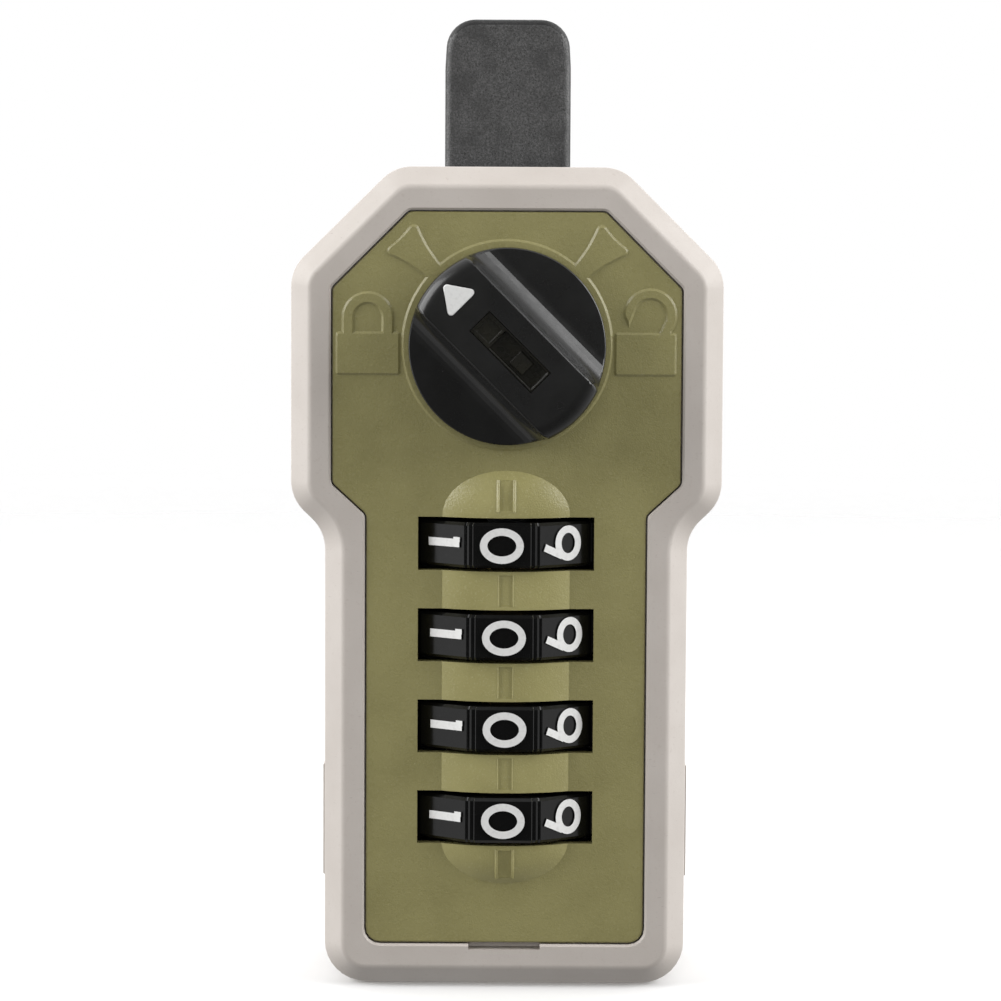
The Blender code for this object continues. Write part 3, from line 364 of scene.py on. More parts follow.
class Shader:
    """A Principled material with helpers that add detail in object space. Sizes are in mm."""

    def __init__(self, name, colour, roughness, metallic=0.0):
        self.material = bpy.data.materials.new(name)
        self.material.use_nodes = True
        self.tree = self.material.node_tree
        self.shader = self.tree.nodes["Principled BSDF"]
        self.shader.inputs["Base Color"].default_value = (*colour, 1)
        self.shader.inputs["Roughness"].default_value = roughness
        self.shader.inputs["Metallic"].default_value = metallic
        self.place = self.add("TexCoord").outputs["Object"]
        self.colour = colour
        self.normal = None

    def add(self, kind):
        return self.tree.nodes.new("ShaderNode" + kind)

    def link(self, output, target):
        self.tree.links.new(output, target)

    def noise(self, size, detail=3.0, stretch=(1, 1, 1)):
        """Noise with blotches of about this size."""
        mapping = self.add("Mapping")
        mapping.inputs["Scale"].default_value = [factor / (size * MM) for factor in stretch]
        self.link(self.place, mapping.inputs["Vector"])
        node = self.add("TexNoise")
        node.inputs["Scale"].default_value = 1.0
        node.inputs["Detail"].default_value = detail
        self.link(mapping.outputs["Vector"], node.inputs["Vector"])
        return node.outputs["Fac"]

    def spread(self, fac, low, high, out_low=0.0, out_high=1.0):
        """Maps a factor from one range to another."""
        node = self.add("MapRange")
        for socket, value in zip(RANGE_SOCKETS, (low, high, out_low, out_high)):
            node.inputs[socket].default_value = value
        self.link(fac, node.inputs["Value"])
        return node.outputs["Result"]

    def multiply(self, first, second):
        node = self.add("Math")
        node.operation = "MULTIPLY"
        self.link(first, node.inputs[0])
        self.link(second, node.inputs[1])
        return node.outputs["Value"]

    def tint(self, fac, other):
        """Mixes another colour in where the factor is high."""
        socket = self.shader.inputs["Base Color"]
        mix = self.add("Mix")
        mix.data_type = "RGBA"
        first, second = mix.inputs[6], mix.inputs[7]
        if socket.is_linked:
            self.link(socket.links[0].from_socket, first)
        else:
            first.default_value = (*self.colour, 1)
        second.default_value = (*other, 1)
        self.link(fac, mix.inputs[0])
        self.link(mix.outputs[2], socket)

    def patches(self, size, detail, low, high, colour):
        """Another colour where noise is high."""
        self.tint(self.spread(self.noise(size, detail), low, high), colour)

    def uneven(self, size, detail, low, high):
        """Roughness that wanders between two values."""
        wander = self.spread(self.noise(size, detail), 0.3, 0.7, low, high)
        self.link(wander, self.shader.inputs["Roughness"])

    def grain(self, size, detail, height, stretch=(1, 1, 1)):
        """Bumps of a size and height, on top of those already there."""
        fac = self.noise(size, detail, stretch)
        node = self.add("Bump")
        node.inputs["Strength"].default_value = 1.0
        node.inputs["Distance"].default_value = height * MM
        self.link(fac, node.inputs["Height"])
        if self.normal is not None:
            self.link(self.normal, node.inputs["Normal"])
        self.normal = node.outputs["Normal"]
        self.link(self.normal, self.shader.inputs["Normal"])

    def worn_edges(self, other):
        """Mixes a colour in along sharp edges, broken up by noise."""
        bevel = self.add("Bevel")
        bevel.samples = 4
        bevel.inputs["Radius"].default_value = 0.2 * MM
        geometry = self.add("NewGeometry")
        dot = self.add("VectorMath")
        dot.operation = "DOT_PRODUCT"
        self.link(bevel.outputs["Normal"], dot.inputs[0])
        self.link(geometry.outputs["Normal"], dot.inputs[1])
        slight, full = 0.98, 0.88  # how nearly the normals agree where wear starts and is complete
        edge = self.spread(dot.outputs["Value"], slight, full)
        broken = self.spread(self.noise(0.8, 4), 0.45, 0.6)
        self.tint(self.multiply(edge, broken), other)


def beige_plastic():
    """Lightly sparked moulded plastic with faint grime and a few scuffs."""
    look = Shader("beige_plastic", (0.56, 0.515, 0.475), 0.42)
    look.patches(9, 4, 0.35, 0.75, (0.51, 0.465, 0.425))
    look.patches(0.5, 2, 0.62, 0.8, (0.50, 0.45, 0.41))
    scuffs = look.spread(look.noise(1.1, 2, (1, 1, 9)), 0.715, 0.76)
    look.tint(look.multiply(scuffs, look.spread(look.noise(14), 0.5, 0.6)), (0.36, 0.32, 0.29))
    look.uneven(3, 4, 0.38, 0.5)
    look.grain(0.22, 3, 0.012)
    look.grain(1.6, 2, 0.01)
    return look.material


def olive_plate(name, painted_light_gain, gloss=0.24):
    """Satin moulding with a fine spark-eroded grain. Its colours are scaled by the gain, which paints light:
    above 1 it is a lit copy of the plate.
    """

    def lightened(*colour):
        return tuple(part * painted_light_gain for part in colour)

    look = Shader(name, lightened(0.286, 0.262, 0.113), 0.34)
    look.patches(7, 3, 0.35, 0.7, lightened(0.25, 0.228, 0.096))
    look.patches(0.3, 2, 0.58, 0.75, lightened(0.32, 0.295, 0.145))
    look.uneven(2, 4, gloss, gloss + 0.08)
    look.grain(0.2, 4, 0.045)
    look.grain(0.45, 2, 0.03)
    return look.material


def black_gloss(name, base, shine=0.5):
    """Glossy black moulding with dust specks and fine rub marks."""
    look = Shader(name, (base, base, base * 0.97), 0.2)
    look.shader.inputs["Specular IOR Level"].default_value = shine
    look.patches(0.25, 2, 0.7, 0.75, (0.03, 0.03, 0.029))
    look.patches(5, 3, 0.4, 0.7, (base * 1.3, base * 1.3, base * 1.26))
    look.uneven(1.3, 5, 0.15, 0.25)
    look.grain(0.45, 3, 0.003)
    look.grain(2.5, 1, 0.004)
    return look.material


def black_core():
    """Satin black moulding of the keyway insert, a little brown."""
    look = Shader("black_core", (0.0135, 0.0130, 0.0098), 0.3)
    look.shader.inputs["Specular IOR Level"].default_value = 0.35
    look.patches(1.5, 3, 0.4, 0.7, (0.0165, 0.0155, 0.0105))
    look.uneven(0.8, 4, 0.22, 0.36)
    look.grain(0.3, 3, 0.01)
    return look.material


def white_paint():
    """Filled white paint, slightly uneven and rubbed at its edges."""
    look = Shader("white_paint", (0.78, 0.78, 0.767), 0.42)
    look.patches(0.6, 4, 0.5, 0.8, (0.66, 0.66, 0.645))
    look.uneven(0.7, 3, 0.35, 0.55)
    look.grain(0.25, 3, 0.01)
    return look.material


def dark_cast(name, painted_light_gain):
    """Sand-blasted die casting with a dark finish. Its colours are scaled by the gain, which paints shade:
    below 1 it is a shaded copy of the casting.
    """
    look = Shader(name, (0.078 * painted_light_gain,) * 3, 0.5, 0.35)
    look.patches(0.24, 4, 0.42, 0.66, (0.135 * painted_light_gain,) * 3)
    look.patches(0.19, 3, 0.54, 0.7, (0.03 * painted_light_gain,) * 3)
    look.patches(3.4, 5, 0.47, 0.85, (0.05 * painted_light_gain,) * 3)
    look.uneven(0.7, 4, 0.4, 0.6)
    look.grain(0.22, 4, 0.08)
    look.grain(1.1, 3, 0.1)
    return look.material


def rear_cast():
    """Plain die-cast zinc, lighter and smoother than the tongue."""
    look = Shader("rear_cast", (0.33, 0.335, 0.34), 0.45, 0.8)
    look.patches(6, 5, 0.4, 0.7, (0.24, 0.245, 0.25))
    look.uneven(1.2, 4, 0.36, 0.56)
    look.grain(0.35, 3, 0.02)
    look.grain(3, 2, 0.03, (1, 1, 0.3))
    look.worn_edges((0.62, 0.62, 0.62))
    return look.material


def zinc_plate():
    """Bright zinc plating with turning marks and a faint cloudy tint."""
    look = Shader("zinc_plate", (0.5, 0.51, 0.52), 0.28, 1.0)
    look.patches(2.5, 5, 0.4, 0.7, (0.38, 0.39, 0.42))
    look.uneven(0.8, 5, 0.2, 0.4)
    look.grain(0.15, 2, 0.006, (0.3, 4, 0.3))
    look.worn_edges((0.8, 0.8, 0.8))
    return look.material


def spring_steel():
    """Drawn and rolled spring steel with a blue-grey tinge."""
    look = Shader("spring_steel", (0.40, 0.41, 0.43), 0.3, 1.0)
    look.patches(1.5, 4, 0.4, 0.7, (0.29, 0.3, 0.34))
    look.uneven(0.4, 4, 0.22, 0.4)
    look.grain(0.12, 2, 0.005, (1, 6, 1))
    return look.material


def brass():
    """Machined brass, dulled in places."""
    look = Shader("brass", (0.68, 0.49, 0.2), 0.3, 1.0)
    look.patches(2, 5, 0.45, 0.7, (0.45, 0.31, 0.13))
    look.uneven(0.7, 4, 0.24, 0.42)
    look.grain(0.12, 2, 0.006, (1, 1, 5))
    look.worn_edges((0.85, 0.68, 0.36))
    return look.material


LOOKS = {
    "beige": beige_plastic(),
    "olive": olive_plate("olive_plate", 1.0),
    "ridge": olive_plate("olive_ridge_painted_light", 1.25, 0.17),  # a glossier copy of the plate whose colour is lighter by painted light
    "black": black_gloss("black_knob", 0.0125, 0.45),
    "wheel": black_gloss("black_wheel", 0.0035, 0.38),
    "core": black_core(),
    "white": white_paint(),
    "tongue": dark_cast("dark_cast", 1.0),
    "tongue_painted_shade": dark_cast("dark_cast_painted_shade", 0.34),  # a darker copy that paints shade on the tongue's edges
    "rear": rear_cast(),
    "zinc": zinc_plate(),
    "spring": spring_steel(),
    "brass": brass(),
}


# ---- body ----


BODY_CORNERS = mirrored(
    (
        (15.5 * MM, BODY_TOP, CORNER_RADIUS),
        (HEAD_HALF, 10.2 * MM, CORNER_RADIUS),
        (HEAD_HALF, -21.4 * MM, CORNER_RADIUS),
        (NECK_HALF, -25.9 * MM, CORNER_RADIUS),
        (NECK_HALF, BODY_BOTTOM, CORNER_RADIUS),
    )
)
PLATE_CORNERS = mirrored(
    (
        (13.4 * MM, 18.2 * MM, 1.0 * MM),
        (23.9 * MM, 7.7 * MM, 1.0 * MM),
        (23.9 * MM, -19.0 * MM, 1.2 * MM),
        (19.2 * MM, -23.3 * MM, 1.2 * MM),
        (19.2 * MM, -82.8 * MM, 2.0 * MM),
    )
)


def middle(corners):
    low, high = corners
    return (low.x + high.x) / 2, (low.z + high.z) / 2


def arc_pieces(radius, start, end, steps):
    """(slope, length) of each short straight piece of an arc that turns from one slope to another."""
    sweep = end - start
    return [(start + sweep * (step + 0.5) / steps, radius * sweep / steps) for step in range(steps)]


def chamfer_levels(corners, edge):
    """Levels of a flat chamfer with both edges eased by arcs, from the front face to the full outline."""
    inner = arc_pieces(CHAMFER_INNER_ARC, 0, CHAMFER_SLOPE, 5)
    outer = arc_pieces(CHAMFER_OUTER_ARC, CHAMFER_SLOPE, math.pi / 2, 4)
    inset, depth = FRONT_CHAMFER + CHAMFER_INNER_ARC * math.tan(CHAMFER_SLOPE / 2) / 2, 0.0
    arcs_reach = sum(length * math.cos(slope) for slope, length in inner + outer)
    flat = (inset - arcs_reach) / math.cos(CHAMFER_SLOPE)
    levels = [(inset, depth)]
    for slope, length in inner + [(CHAMFER_SLOPE, flat)] + outer:
        inset -= length * math.cos(slope)
        depth += length * math.sin(slope)
        levels.append((max(inset, 0.0), depth))
    return [(rounded(resized(corners, -inset), 8), edge + depth) for inset, depth in levels]


def make_frame():
    """The one-piece surround, with its screw bosses inside and a pad on each lower flank."""
    levels = chamfer_levels(BODY_CORNERS, BODY_FRONT)
    levels += fillet_levels(BODY_CORNERS, 0, 0.3 * MM, -1, 2)[::-1]
    lip_back = BODY_FRONT + LIP_THICKNESS
    cavity = rounded(resized(BODY_CORNERS, -WALL))
    seat = resized(PLATE_CORNERS, 0.2 * MM)
    shelf = resized(PLATE_CORNERS, -1.2 * MM)
    seat_back = PLATE_FRONT + PLATE_THICKNESS + 0.3 * MM
    flare = resized(seat, 0.3 * MM)
    mouth = [(rounded(flare, 4), BODY_FRONT - MM), (rounded(flare, 4), BODY_FRONT)]
    mouth += [(rounded(seat, 4), BODY_FRONT + 0.3 * MM), (rounded(seat, 4), seat_back)]
    steps = [
        (CUT, prism("cavity", cavity, lip_back, MM)),
        (CUT, loft("seat", mouth)),
        (CUT, prism("opening", rounded(shelf, 2), BODY_FRONT, lip_back + MM)),
    ]
    for rear, carrier in zip(REAR_SCREWS, CARRIER_SCREWS):
        place = middle(rear)
        steps.append((JOIN, rod("boss", 2.9 * MM, lip_back - MM, -2.3 * MM, 24, place)))
        steps.append((CUT, rod("pilot", 1.5 * MM, -16 * MM, MM, 16, place)))
        place = middle(carrier)
        steps.append((JOIN, rod("boss", 2 * MM, lip_back - MM, -24.3 * MM, 20, place)))
        steps.append((CUT, rod("pilot", 1.1 * MM, -28.5 * MM, -23 * MM, 12, place)))
    for side in (-1, 1):
        face = [(NECK_HALF + PAD_HEIGHT, -58.9 * MM), (NECK_HALF + PAD_HEIGHT, -74.3 * MM)]
        root = [(NECK_HALF - 0.5 * MM, -74.9 * MM), (NECK_HALF - 0.5 * MM, -58.3 * MM)]
        outline = [(side * x, z) for x, z in face + root]
        steps.append((JOIN, prism("pad", outline, -24 * MM, -6 * MM)))
    notch_low = (NOTCH_LOW[0], BODY_FRONT - MM, NOTCH_LOW[1])
    notch_high = (NOTCH_HIGH[0], seat_back, NOTCH_HIGH[1])
    steps.append((CUT, box("notch", notch_low, notch_high)))
    shell = solid("surround", loft("surround", levels), steps)
    finished(shell, [LOOKS["beige"]])
    install(shell, "housing", "frame_beige", "front_frame")


def ridge_surface(x, z):
    """How far forward the ridge stands at a place, as the y of its surface."""
    top, bottom = RIDGE_TOP - RIDGE_END, RIDGE_BOTTOM + RIDGE_END
    beyond = max(z - top, bottom - z, 0) * RIDGE_HALF / RIDGE_END
    reach = min(math.hypot(x, beyond), RIDGE_HALF)
    return PLATE_FRONT - math.sqrt(RIDGE_RADIUS**2 - reach**2) + RIDGE_RADIUS - RIDGE_HEIGHT


def ridge_mesh():
    """A bar with round ends whose height falls off from its middle line as an arc."""
    top, bottom = RIDGE_TOP - RIDGE_END, RIDGE_BOTTOM + RIDGE_END
    stretch = Matrix.Diagonal((1, RIDGE_END / RIDGE_HALF))
    levels = []
    rings = 18
    for ring in range(rings):
        reach = RIDGE_HALF * (1 - ring / rings) ** 0.8
        height = math.sqrt(RIDGE_RADIUS**2 - reach**2) - (RIDGE_RADIUS - RIDGE_HEIGHT)
        outline = [stretch @ point + Vector((0, top)) for point in arc((0, 0), reach, -90, 90, 40)]
        outline += [stretch @ point + Vector((0, bottom)) for point in arc((0, 0), reach, 90, 270, 40)]
        levels.append((outline, PLATE_FRONT - height))
    levels.insert(0, (levels[0][0], PLATE_FRONT + MM))
    return loft("ridge", levels)


def mark_mesh(outline):
    """A raised area with sloping sides."""
    wide = moved_out(outline, MARK_SLOPE)
    crown = PLATE_FRONT - MARK_HEIGHT
    return loft("mark", [(wide, PLATE_FRONT + 0.2 * MM), (wide, PLATE_FRONT), (outline, crown)])


def arrow_outline(turn):
    """One arrow of the dial, pointing away from the knob at an angle from +Z."""
    side = [(1.05, 13.5, 0), (1.12, 14.9, 3), (1.5, 17.2, 6), (2.1, 19.1, 5), (2.72, 20.7, 0.45)]
    corners = side + [(0, 20.35, 12)] + [(-half, reach, radius) for half, reach, radius in reversed(side)]
    rotation = Matrix.Rotation(math.radians(-turn), 2)
    outline = rounded([(x * MM, z * MM, radius * MM) for x, z, radius in corners], 4)
    return [rotation @ point for point in reversed(outline)]


def padlock_outlines(sides, centre, is_open):
    """The body of a padlock mark and its shackle, shut or swung off its left hole."""
    shoulder, bottom, foot = 1.5 * MM, -3.88 * MM, 1.0 * MM
    body = [(sides[0], shoulder), (sides[1], shoulder), (sides[1], bottom), (sides[0], bottom)]
    body = rounded([(x, z, 0.2 * MM) for x, z in body], 2)
    outer, inner = 3.28 * MM, 2.15 * MM
    if not is_open:
        arch = arc(centre, outer, -90, 90, 28)
        legs = [(centre[0] + outer, foot), (centre[0] + inner, foot)]
        hollow = arc(centre, inner, 90, -90, 24)
        return [body, arch + legs + hollow + [(centre[0] - inner, foot), (centre[0] - outer, foot)]]
    arch = arc(centre, outer + 0.12 * MM, -88, 128, 34)
    leg = [(centre[0] + 2.65 * MM, foot), (centre[0] + 1.2 * MM, foot)]
    hollow = arc(centre, inner + 0.28 * MM, 108, -72, 28)
    return [body, arch + leg + hollow + [(centre[0] - 2.95 * MM, centre[1] - 0.9 * MM)]]


def rim_mesh(x, z_low, z_high, height):
    """A thin raised line with sloping sides that follows the ridge's surface."""
    root, half_crown = 0.1 * MM, 0.03 * MM
    half_foot = half_crown + height + root
    levels = []
    for step in range(11):
        z = z_low + (z_high - z_low) * step / 10
        y = ridge_surface(x, z)
        section = [
            (x - half_foot, y + root),
            (x - half_crown, y - height),
            (x + half_crown, y - height),
            (x + half_foot, y + root),
        ]
        levels.append((section, -z))
    return standing(loft("rim", levels))


def index_marks():
    """The recesses between the windows, with thin rims. The outer two run out at the ridge's ends."""
    width, height = INDEX_HALF
    steps = []
    for index, z in enumerate(INDEX_Z):
        outward = {0: 1, WHEEL_COUNT: -1}.get(index, 0)
        rim = 0.2 * MM if outward else 0.07 * MM
        for side in (-1, 1):
            steps.append((JOIN, rim_mesh(side * (width + rim), z - height, z + height, rim)))
        shallow = ridge_surface(0, z + outward * height) + (0.04 * MM if outward else INDEX_DEPTH)
        deep = ridge_surface(0, z - outward * height) + INDEX_DEPTH
        tilt = math.atan2(shallow - deep, 2 * height) * outward
        cutter = box("index", (-width, -2 * MM, -height), (width, 0, height))
        cutter.transform(Matrix.Translation((0, (shallow + deep) / 2, z)) @ Matrix.Rotation(-tilt, 4, "X"))
        steps.append((CUT, cutter))
    return steps


def make_plate():
    """The face plate with its dial, marks, ridge, wheel windows and index marks."""
    back = PLATE_FRONT + PLATE_THICKNESS
    levels = fillet_levels(PLATE_CORNERS, PLATE_FRONT, 0.3 * MM, 1, 6, 4)
    levels.append((rounded(PLATE_CORNERS, 4), back))
    marks = [circle(DIAL_RADIUS, 120), arrow_outline(-45), arrow_outline(45)]
    marks += padlock_outlines(*CLOSED_PADLOCK, False)
    marks += padlock_outlines(*OPEN_PADLOCK, True)
    steps = [(JOIN, ridge_mesh())]
    steps += [(JOIN, mark_mesh(outline)) for outline in marks]
    steps.append((CUT, rod("hole", KNOB_HOLE_RADIUS, PLATE_FRONT - MM, back + MM, 64)))
    steps += index_marks()
    half_x, half_z = WINDOW_SIZE[0] / 2, WINDOW_SIZE[1] / 2
    for z in WHEEL_Z:
        low, high = (-half_x, PLATE_LOW.y - MM, z - half_z), (half_x, back + MM, z + half_z)
        steps.append((CUT, box("window", low, high)))
    for shelf_x, z in SNAP_LEGS:
        for side in (-1, 1):
            steps += snap_leg(side, shelf_x, z, back)
    plate = solid("fascia", loft("fascia", levels), steps)
    finished(plate, [LOOKS["olive"], LOOKS["ridge"]], 20)
    # the ridge's front faces take the lighter copy, which paints light on them
    for polygon in plate.data.polygons:
        x, y, z = polygon.center
        on_ridge = y < PLATE_FRONT - 0.02 * MM and abs(x) < RIDGE_HALF and RIDGE_BOTTOM < z < RIDGE_TOP
        polygon.material_index = int(on_ridge and polygon.normal.y < -0.6)
    install(plate, "housing", "plate_olive", "face_plate")


def snap_leg(side, shelf_x, z, back):
    """One leg behind the plate and the barb that hooks under the surround's shelf."""
    shelf_back = BODY_FRONT + LIP_THICKNESS
    inner, outer = shelf_x - 1.4 * MM, shelf_x - 0.3 * MM
    leg = (inner, outer, back - MM)
    barb = (outer - 0.5 * MM, outer + 0.8 * MM, shelf_back + 0.3 * MM)
    steps = []
    for near, far, start in (leg, barb):
        low_x, high_x = sorted((side * near, side * far))
        low, high = (low_x, start, z - 2 * MM), (high_x, shelf_back + 1.4 * MM, z + 2 * MM)
        steps.append((JOIN, box("leg", low, high)))
    return steps


# ---- number wheels ----


def wheel_outline(scale=1.0):
    """Ten flats with a shallow groove where two of them meet, clockwise, with a flat towards -Y."""
    apothem = WHEEL_RADIUS * math.cos(math.pi / DIGITS)
    half_side = WHEEL_RADIUS * math.sin(math.pi / DIGITS)
    groove, depth, lip = 0.62 * MM, 0.32 * MM, 0.08 * MM
    across = (
        (-half_side + 0.1 * MM, apothem - depth),
        (-half_side + groove - lip, apothem - depth),
        (-half_side + groove, apothem - lip),
        (-half_side + groove + lip, apothem),
        (half_side - groove - lip, apothem),
        (half_side - groove, apothem - lip),
        (half_side - groove + lip, apothem - depth),
        (half_side - 0.1 * MM, apothem - depth),
    )
    points = []
    for index in range(DIGITS):
        turn = Matrix.Rotation(-math.tau * index / DIGITS, 2)
        points += [turn @ Vector(point) * scale for point in across]
    return points


def make_wheel_mesh():
    """One wheel centred on its axis: a grooved decagon with chamfered rims and a ten-sided bore."""
    chamfer = 0.4 * MM
    inset = 1 - chamfer / WHEEL_RADIUS
    levels = [
        (wheel_outline(inset), -WHEEL_HALF),
        (wheel_outline(), chamfer - WHEEL_HALF),
        (wheel_outline(), WHEEL_HALF - chamfer),
        (wheel_outline(inset), WHEEL_HALF),
    ]
    half_turn = 180 / DIGITS
    bore = arc((0, 0), HUB_RADIUS, half_turn, 360 - half_turn, DIGITS - 1)
    cutter = standing(prism("bore", bore, -WHEEL_HALF - MM, WHEEL_HALF + MM))
    return solid("wheel_body", standing(loft("wheel_body", levels)), [(CUT, cutter)])


def stroke(points, closed, half):
    """A raised line along (u, v) points, whose section is a trapezoid across w = 0."""
    foot, crown = half + FIGURE_TAPER, half - FIGURE_TAPER
    section = ((foot, -FIGURE_ROOT), (crown, FIGURE_HEIGHT), (-crown, FIGURE_HEIGHT), (-foot, -FIGURE_ROOT))
    path = [Vector(point) * MM for point in points]
    bm = bmesh.new()
    rings = []
    count = len(path)
    for index, here in enumerate(path):
        back = path[index - 1] if closed or index else here - (path[1] - here)
        onward = path[(index + 1) % count] if closed or index < count - 1 else here + (here - path[index - 1])
        before, after = (here - back).normalized(), (onward - here).normalized()
        side = Vector((-(before + after).y, (before + after).x)).normalized()
        stretch = 1 / max(side.dot(Vector((-after.y, after.x))), 0.4)
        rings.append([bm.verts.new((*(here + side * reach * stretch), w)) for reach, w in section])
    for index in range(count if closed else count - 1):
        ring, following = rings[index], rings[(index + 1) % count]
        for i in range(4):
            j = (i + 1) % 4
            bm.faces.new((ring[i], ring[j], following[j], following[i]))
    if not closed:
        bm.faces.new(rings[0])
        bm.faces.new(rings[-1])
    return mesh_from(bm, "stroke")


def bow(centre, across, up, start, end, steps=20):
    """Part of an oval, with angles in degrees clockwise from its top."""
    round_points = arc((0, 0), 1, start, end, steps)
    return [(centre[0] + across * point.x, centre[1] + up * point.y) for point in round_points]


def oval(centre, across, up):
    return bow(centre, across, up, 0, 360, 40)[:-1]


def turned_round(points):
    return [(-u, -v) for u, v in points]


def digit_strokes(digit):
    """(points, is closed) of each line in a figure, in millimetres: u to its right, v up."""
    loop, tail = oval((-0.22, 0.55), 1.92, 1.62), [(1.5, -0.4), (0.25, -3.3)]
    return {
        0: [(oval((0, 0), 1.93, 2.49), True)],
        1: [([(-0.27, -2.1), (-0.27, 3.3)], False), ([(-1.1, 2.82), (-0.4, 2.82)], False)],
        2: [(bow((0, 1.3), 1.65, 1.65, -75, 110) + [(-1.7, -2.5), (2.0, -2.5)], False)],
        3: [(bow((0, 1.4), 1.5, 1.4, -75, 170), False), (bow((0, -1.15), 1.75, 1.6, 5, 255), False)],
        4: [([(0.75, 3.0), (-1.85, -1.2), (2.1, -1.2)], False), ([(0.95, 0.3), (0.95, -3.0)], False)],
        5: [([(1.7, 2.5), (-1.2, 2.5), (-1.4, 0.2)] + bow((0, -0.85), 1.75, 1.75, -35, 235), False)],
        6: [(turned_round(loop), True), (turned_round(tail), False)],
        7: [([(-1.9, 2.5), (1.75, 2.5), (-0.5, -3.0)], False)],
        8: [(oval((0, 1.4), 1.4, 1.3), True), (oval((0, -1.25), 1.75, 1.5), True)],
        9: [(loop, True), (tail, False)],
    }[digit]


def make_figures():
    """Ten raised figures round one wheel, tops to +X at the front, white on top and black at the sides."""
    apothem = WHEEL_RADIUS * math.cos(math.pi / DIGITS)
    bm = bmesh.new()
    for digit in range(DIGITS):
        half = FIGURE_ONE_HALF if digit == 1 else FIGURE_HALF
        meshes = [stroke(points, closed, half) for points, closed in digit_strokes(digit)]
        figure = solid("figure", meshes[0], [(JOIN, mesh) for mesh in meshes[1:]])
        to_facet = Matrix(((0, 1, 0, 0), (0, 0, -1, -apothem), (-1, 0, 0, 0), (0, 0, 0, 1)))
        turn = Matrix.Rotation(-math.tau * digit / DIGITS, 4, "Z")
        figure.data.transform(turn @ to_facet)
        bm.from_mesh(figure.data)
        bpy.data.objects.remove(figure)
    figures = finished(solid("figures", mesh_from(bm, "figures")), [LOOKS["white"], LOOKS["wheel"]])
    for polygon in figures.data.polygons:
        outward = Vector((*polygon.center.xy, 0)).normalized()
        polygon.material_index = 0 if polygon.normal.dot(outward) > 0.9 else 1
    return figures


def make_wheels():
    wheel = finished(make_wheel_mesh(), [LOOKS["wheel"]], 25)
    figures = make_figures()
    for number, z in enumerate(WHEEL_Z, 1):
        place = (0, WHEEL_AXIS_Y, z)
        spin = math.radians(WHEEL_REST_TURNS[number - 1])
        body = copy_at(wheel, f"dial_{number}", place)
        marks = copy_at(figures, f"dial_figures_{number}", place)
        body.rotation_euler.z = spin
        marks.rotation_euler.z = spin
        install(body, f"wheel_{number}", "wheel_black", f"number_wheel_{number}")
        install(marks, f"wheel_{number}", "mark_white")
    bpy.data.objects.remove(wheel)
    bpy.data.objects.remove(figures)


# ---- knob ----


def turned_to_grip(mesh):
    mesh.transform(Matrix.Rotation(GRIP_TURN, 4, "Y"))
    return mesh


def scoop_mesh(side):
    """What is cut away beside the grip: a steep wall, a hollow and a floor that falls outwards."""
    far = 30 * MM
    inner = GRIP_HALF - SCOOP_FLARE[0]
    flared = SCOOP_HALF_LENGTH + SCOOP_FLARE[1]
    corners = [
        (GRIP_HALF, SCOOP_HALF_LENGTH, 1.7 * MM),
        (inner, flared, 0),
        (inner, far, 0),
        (far, far, 0),
        (far, -far, 0),
        (inner, -far, 0),
        (inner, -flared, 0),
        (GRIP_HALF, -SCOOP_HALF_LENGTH, 1.7 * MM),
    ]
    wall_end = KNOB_FRONT + SCOOP_WALL
    levels = [(-GRIP_EASE, KNOB_FRONT - MM)]
    for step in range(7):
        angle = math.pi / 2 * step / 6
        levels.append((-GRIP_EASE * (1 - math.sin(angle)), KNOB_FRONT + GRIP_EASE * (1 - math.cos(angle))))
    for step in range(9):
        angle = math.pi / 2 * step / 8
        inset = SCOOP_DRAFT + SCOOP_FILLET * (1 - math.cos(angle))
        levels.append((inset, wall_end + SCOOP_FILLET * math.sin(angle)))
    mesh = loft("scoop", [(rounded(resized(corners, -inset), 8), y) for inset, y in levels])
    for vertex in mesh.vertices:
        if vertex.co.y > KNOB_FRONT:
            vertex.co.y += SCOOP_FALL * (vertex.co.x - GRIP_HALF)
    if side < 0:
        mesh.transform(Matrix.Diagonal((-1, 1, 1, 1)))
        mesh.flip_normals()
    return turned_to_grip(mesh)


def pointer_corners(grow=0.0):
    tip, base, half, radius = 12.3 * MM, 8.3 * MM, 2.8 * MM, 0.5 * MM
    return resized([(0, tip, radius), (half, base, radius), (-half, base, radius)], grow)


def make_knob():
    """A round knob cut away on both sides of a straight grip."""
    edge, drop, hub = 2.4 * MM, 1.9 * MM, 7 * MM
    profile = []
    for step in range(9):
        angle = math.pi / 2 * step / 8
        radius = KNOB_RADIUS - edge * (1 - math.sin(angle))
        profile.append((radius, KNOB_FRONT + drop * (1 - math.cos(angle))))
    profile += [(KNOB_RADIUS, KNOB_BACK - 0.3 * MM), (KNOB_RADIUS - 0.3 * MM, KNOB_BACK)]
    profile += [(hub, KNOB_BACK + 0.01 * MM), (hub, -8.6 * MM)]
    scoops = [(CUT, scoop_mesh(1)), (CUT, scoop_mesh(-1))]
    outer = solid("outer", revolved("turn_knob", profile, 128), scoops)
    weld(outer, 0.05 * MM)
    soften(outer, 0.3 * MM, 3, 40, clamp=False)
    recess_low = (-KEYWAY_HALF, KNOB_FRONT - MM, KEYWAY_ENDS[0])
    recess_high = (KEYWAY_HALF, KEYWAY_BACK + 0.3 * MM, KEYWAY_ENDS[1])
    seat = rounded(pointer_corners(0.12 * MM), 5)
    cuts = [
        (CUT, turned_to_grip(box("recess", recess_low, recess_high))),
        (CUT, turned_to_grip(prism("socket", SOCKET, KNOB_FRONT + 5 * MM, 0))),
        (CUT, turned_to_grip(prism("seat", seat, KNOB_FRONT - MM, KNOB_FRONT + 0.6 * MM))),
    ]
    mesh = outer.data
    bpy.data.objects.remove(outer)
    knob = solid("turn_knob", mesh, cuts)
    finished(knob, [LOOKS["black"]], 25)
    install(knob, "knob_train", "knob_black", "knob")


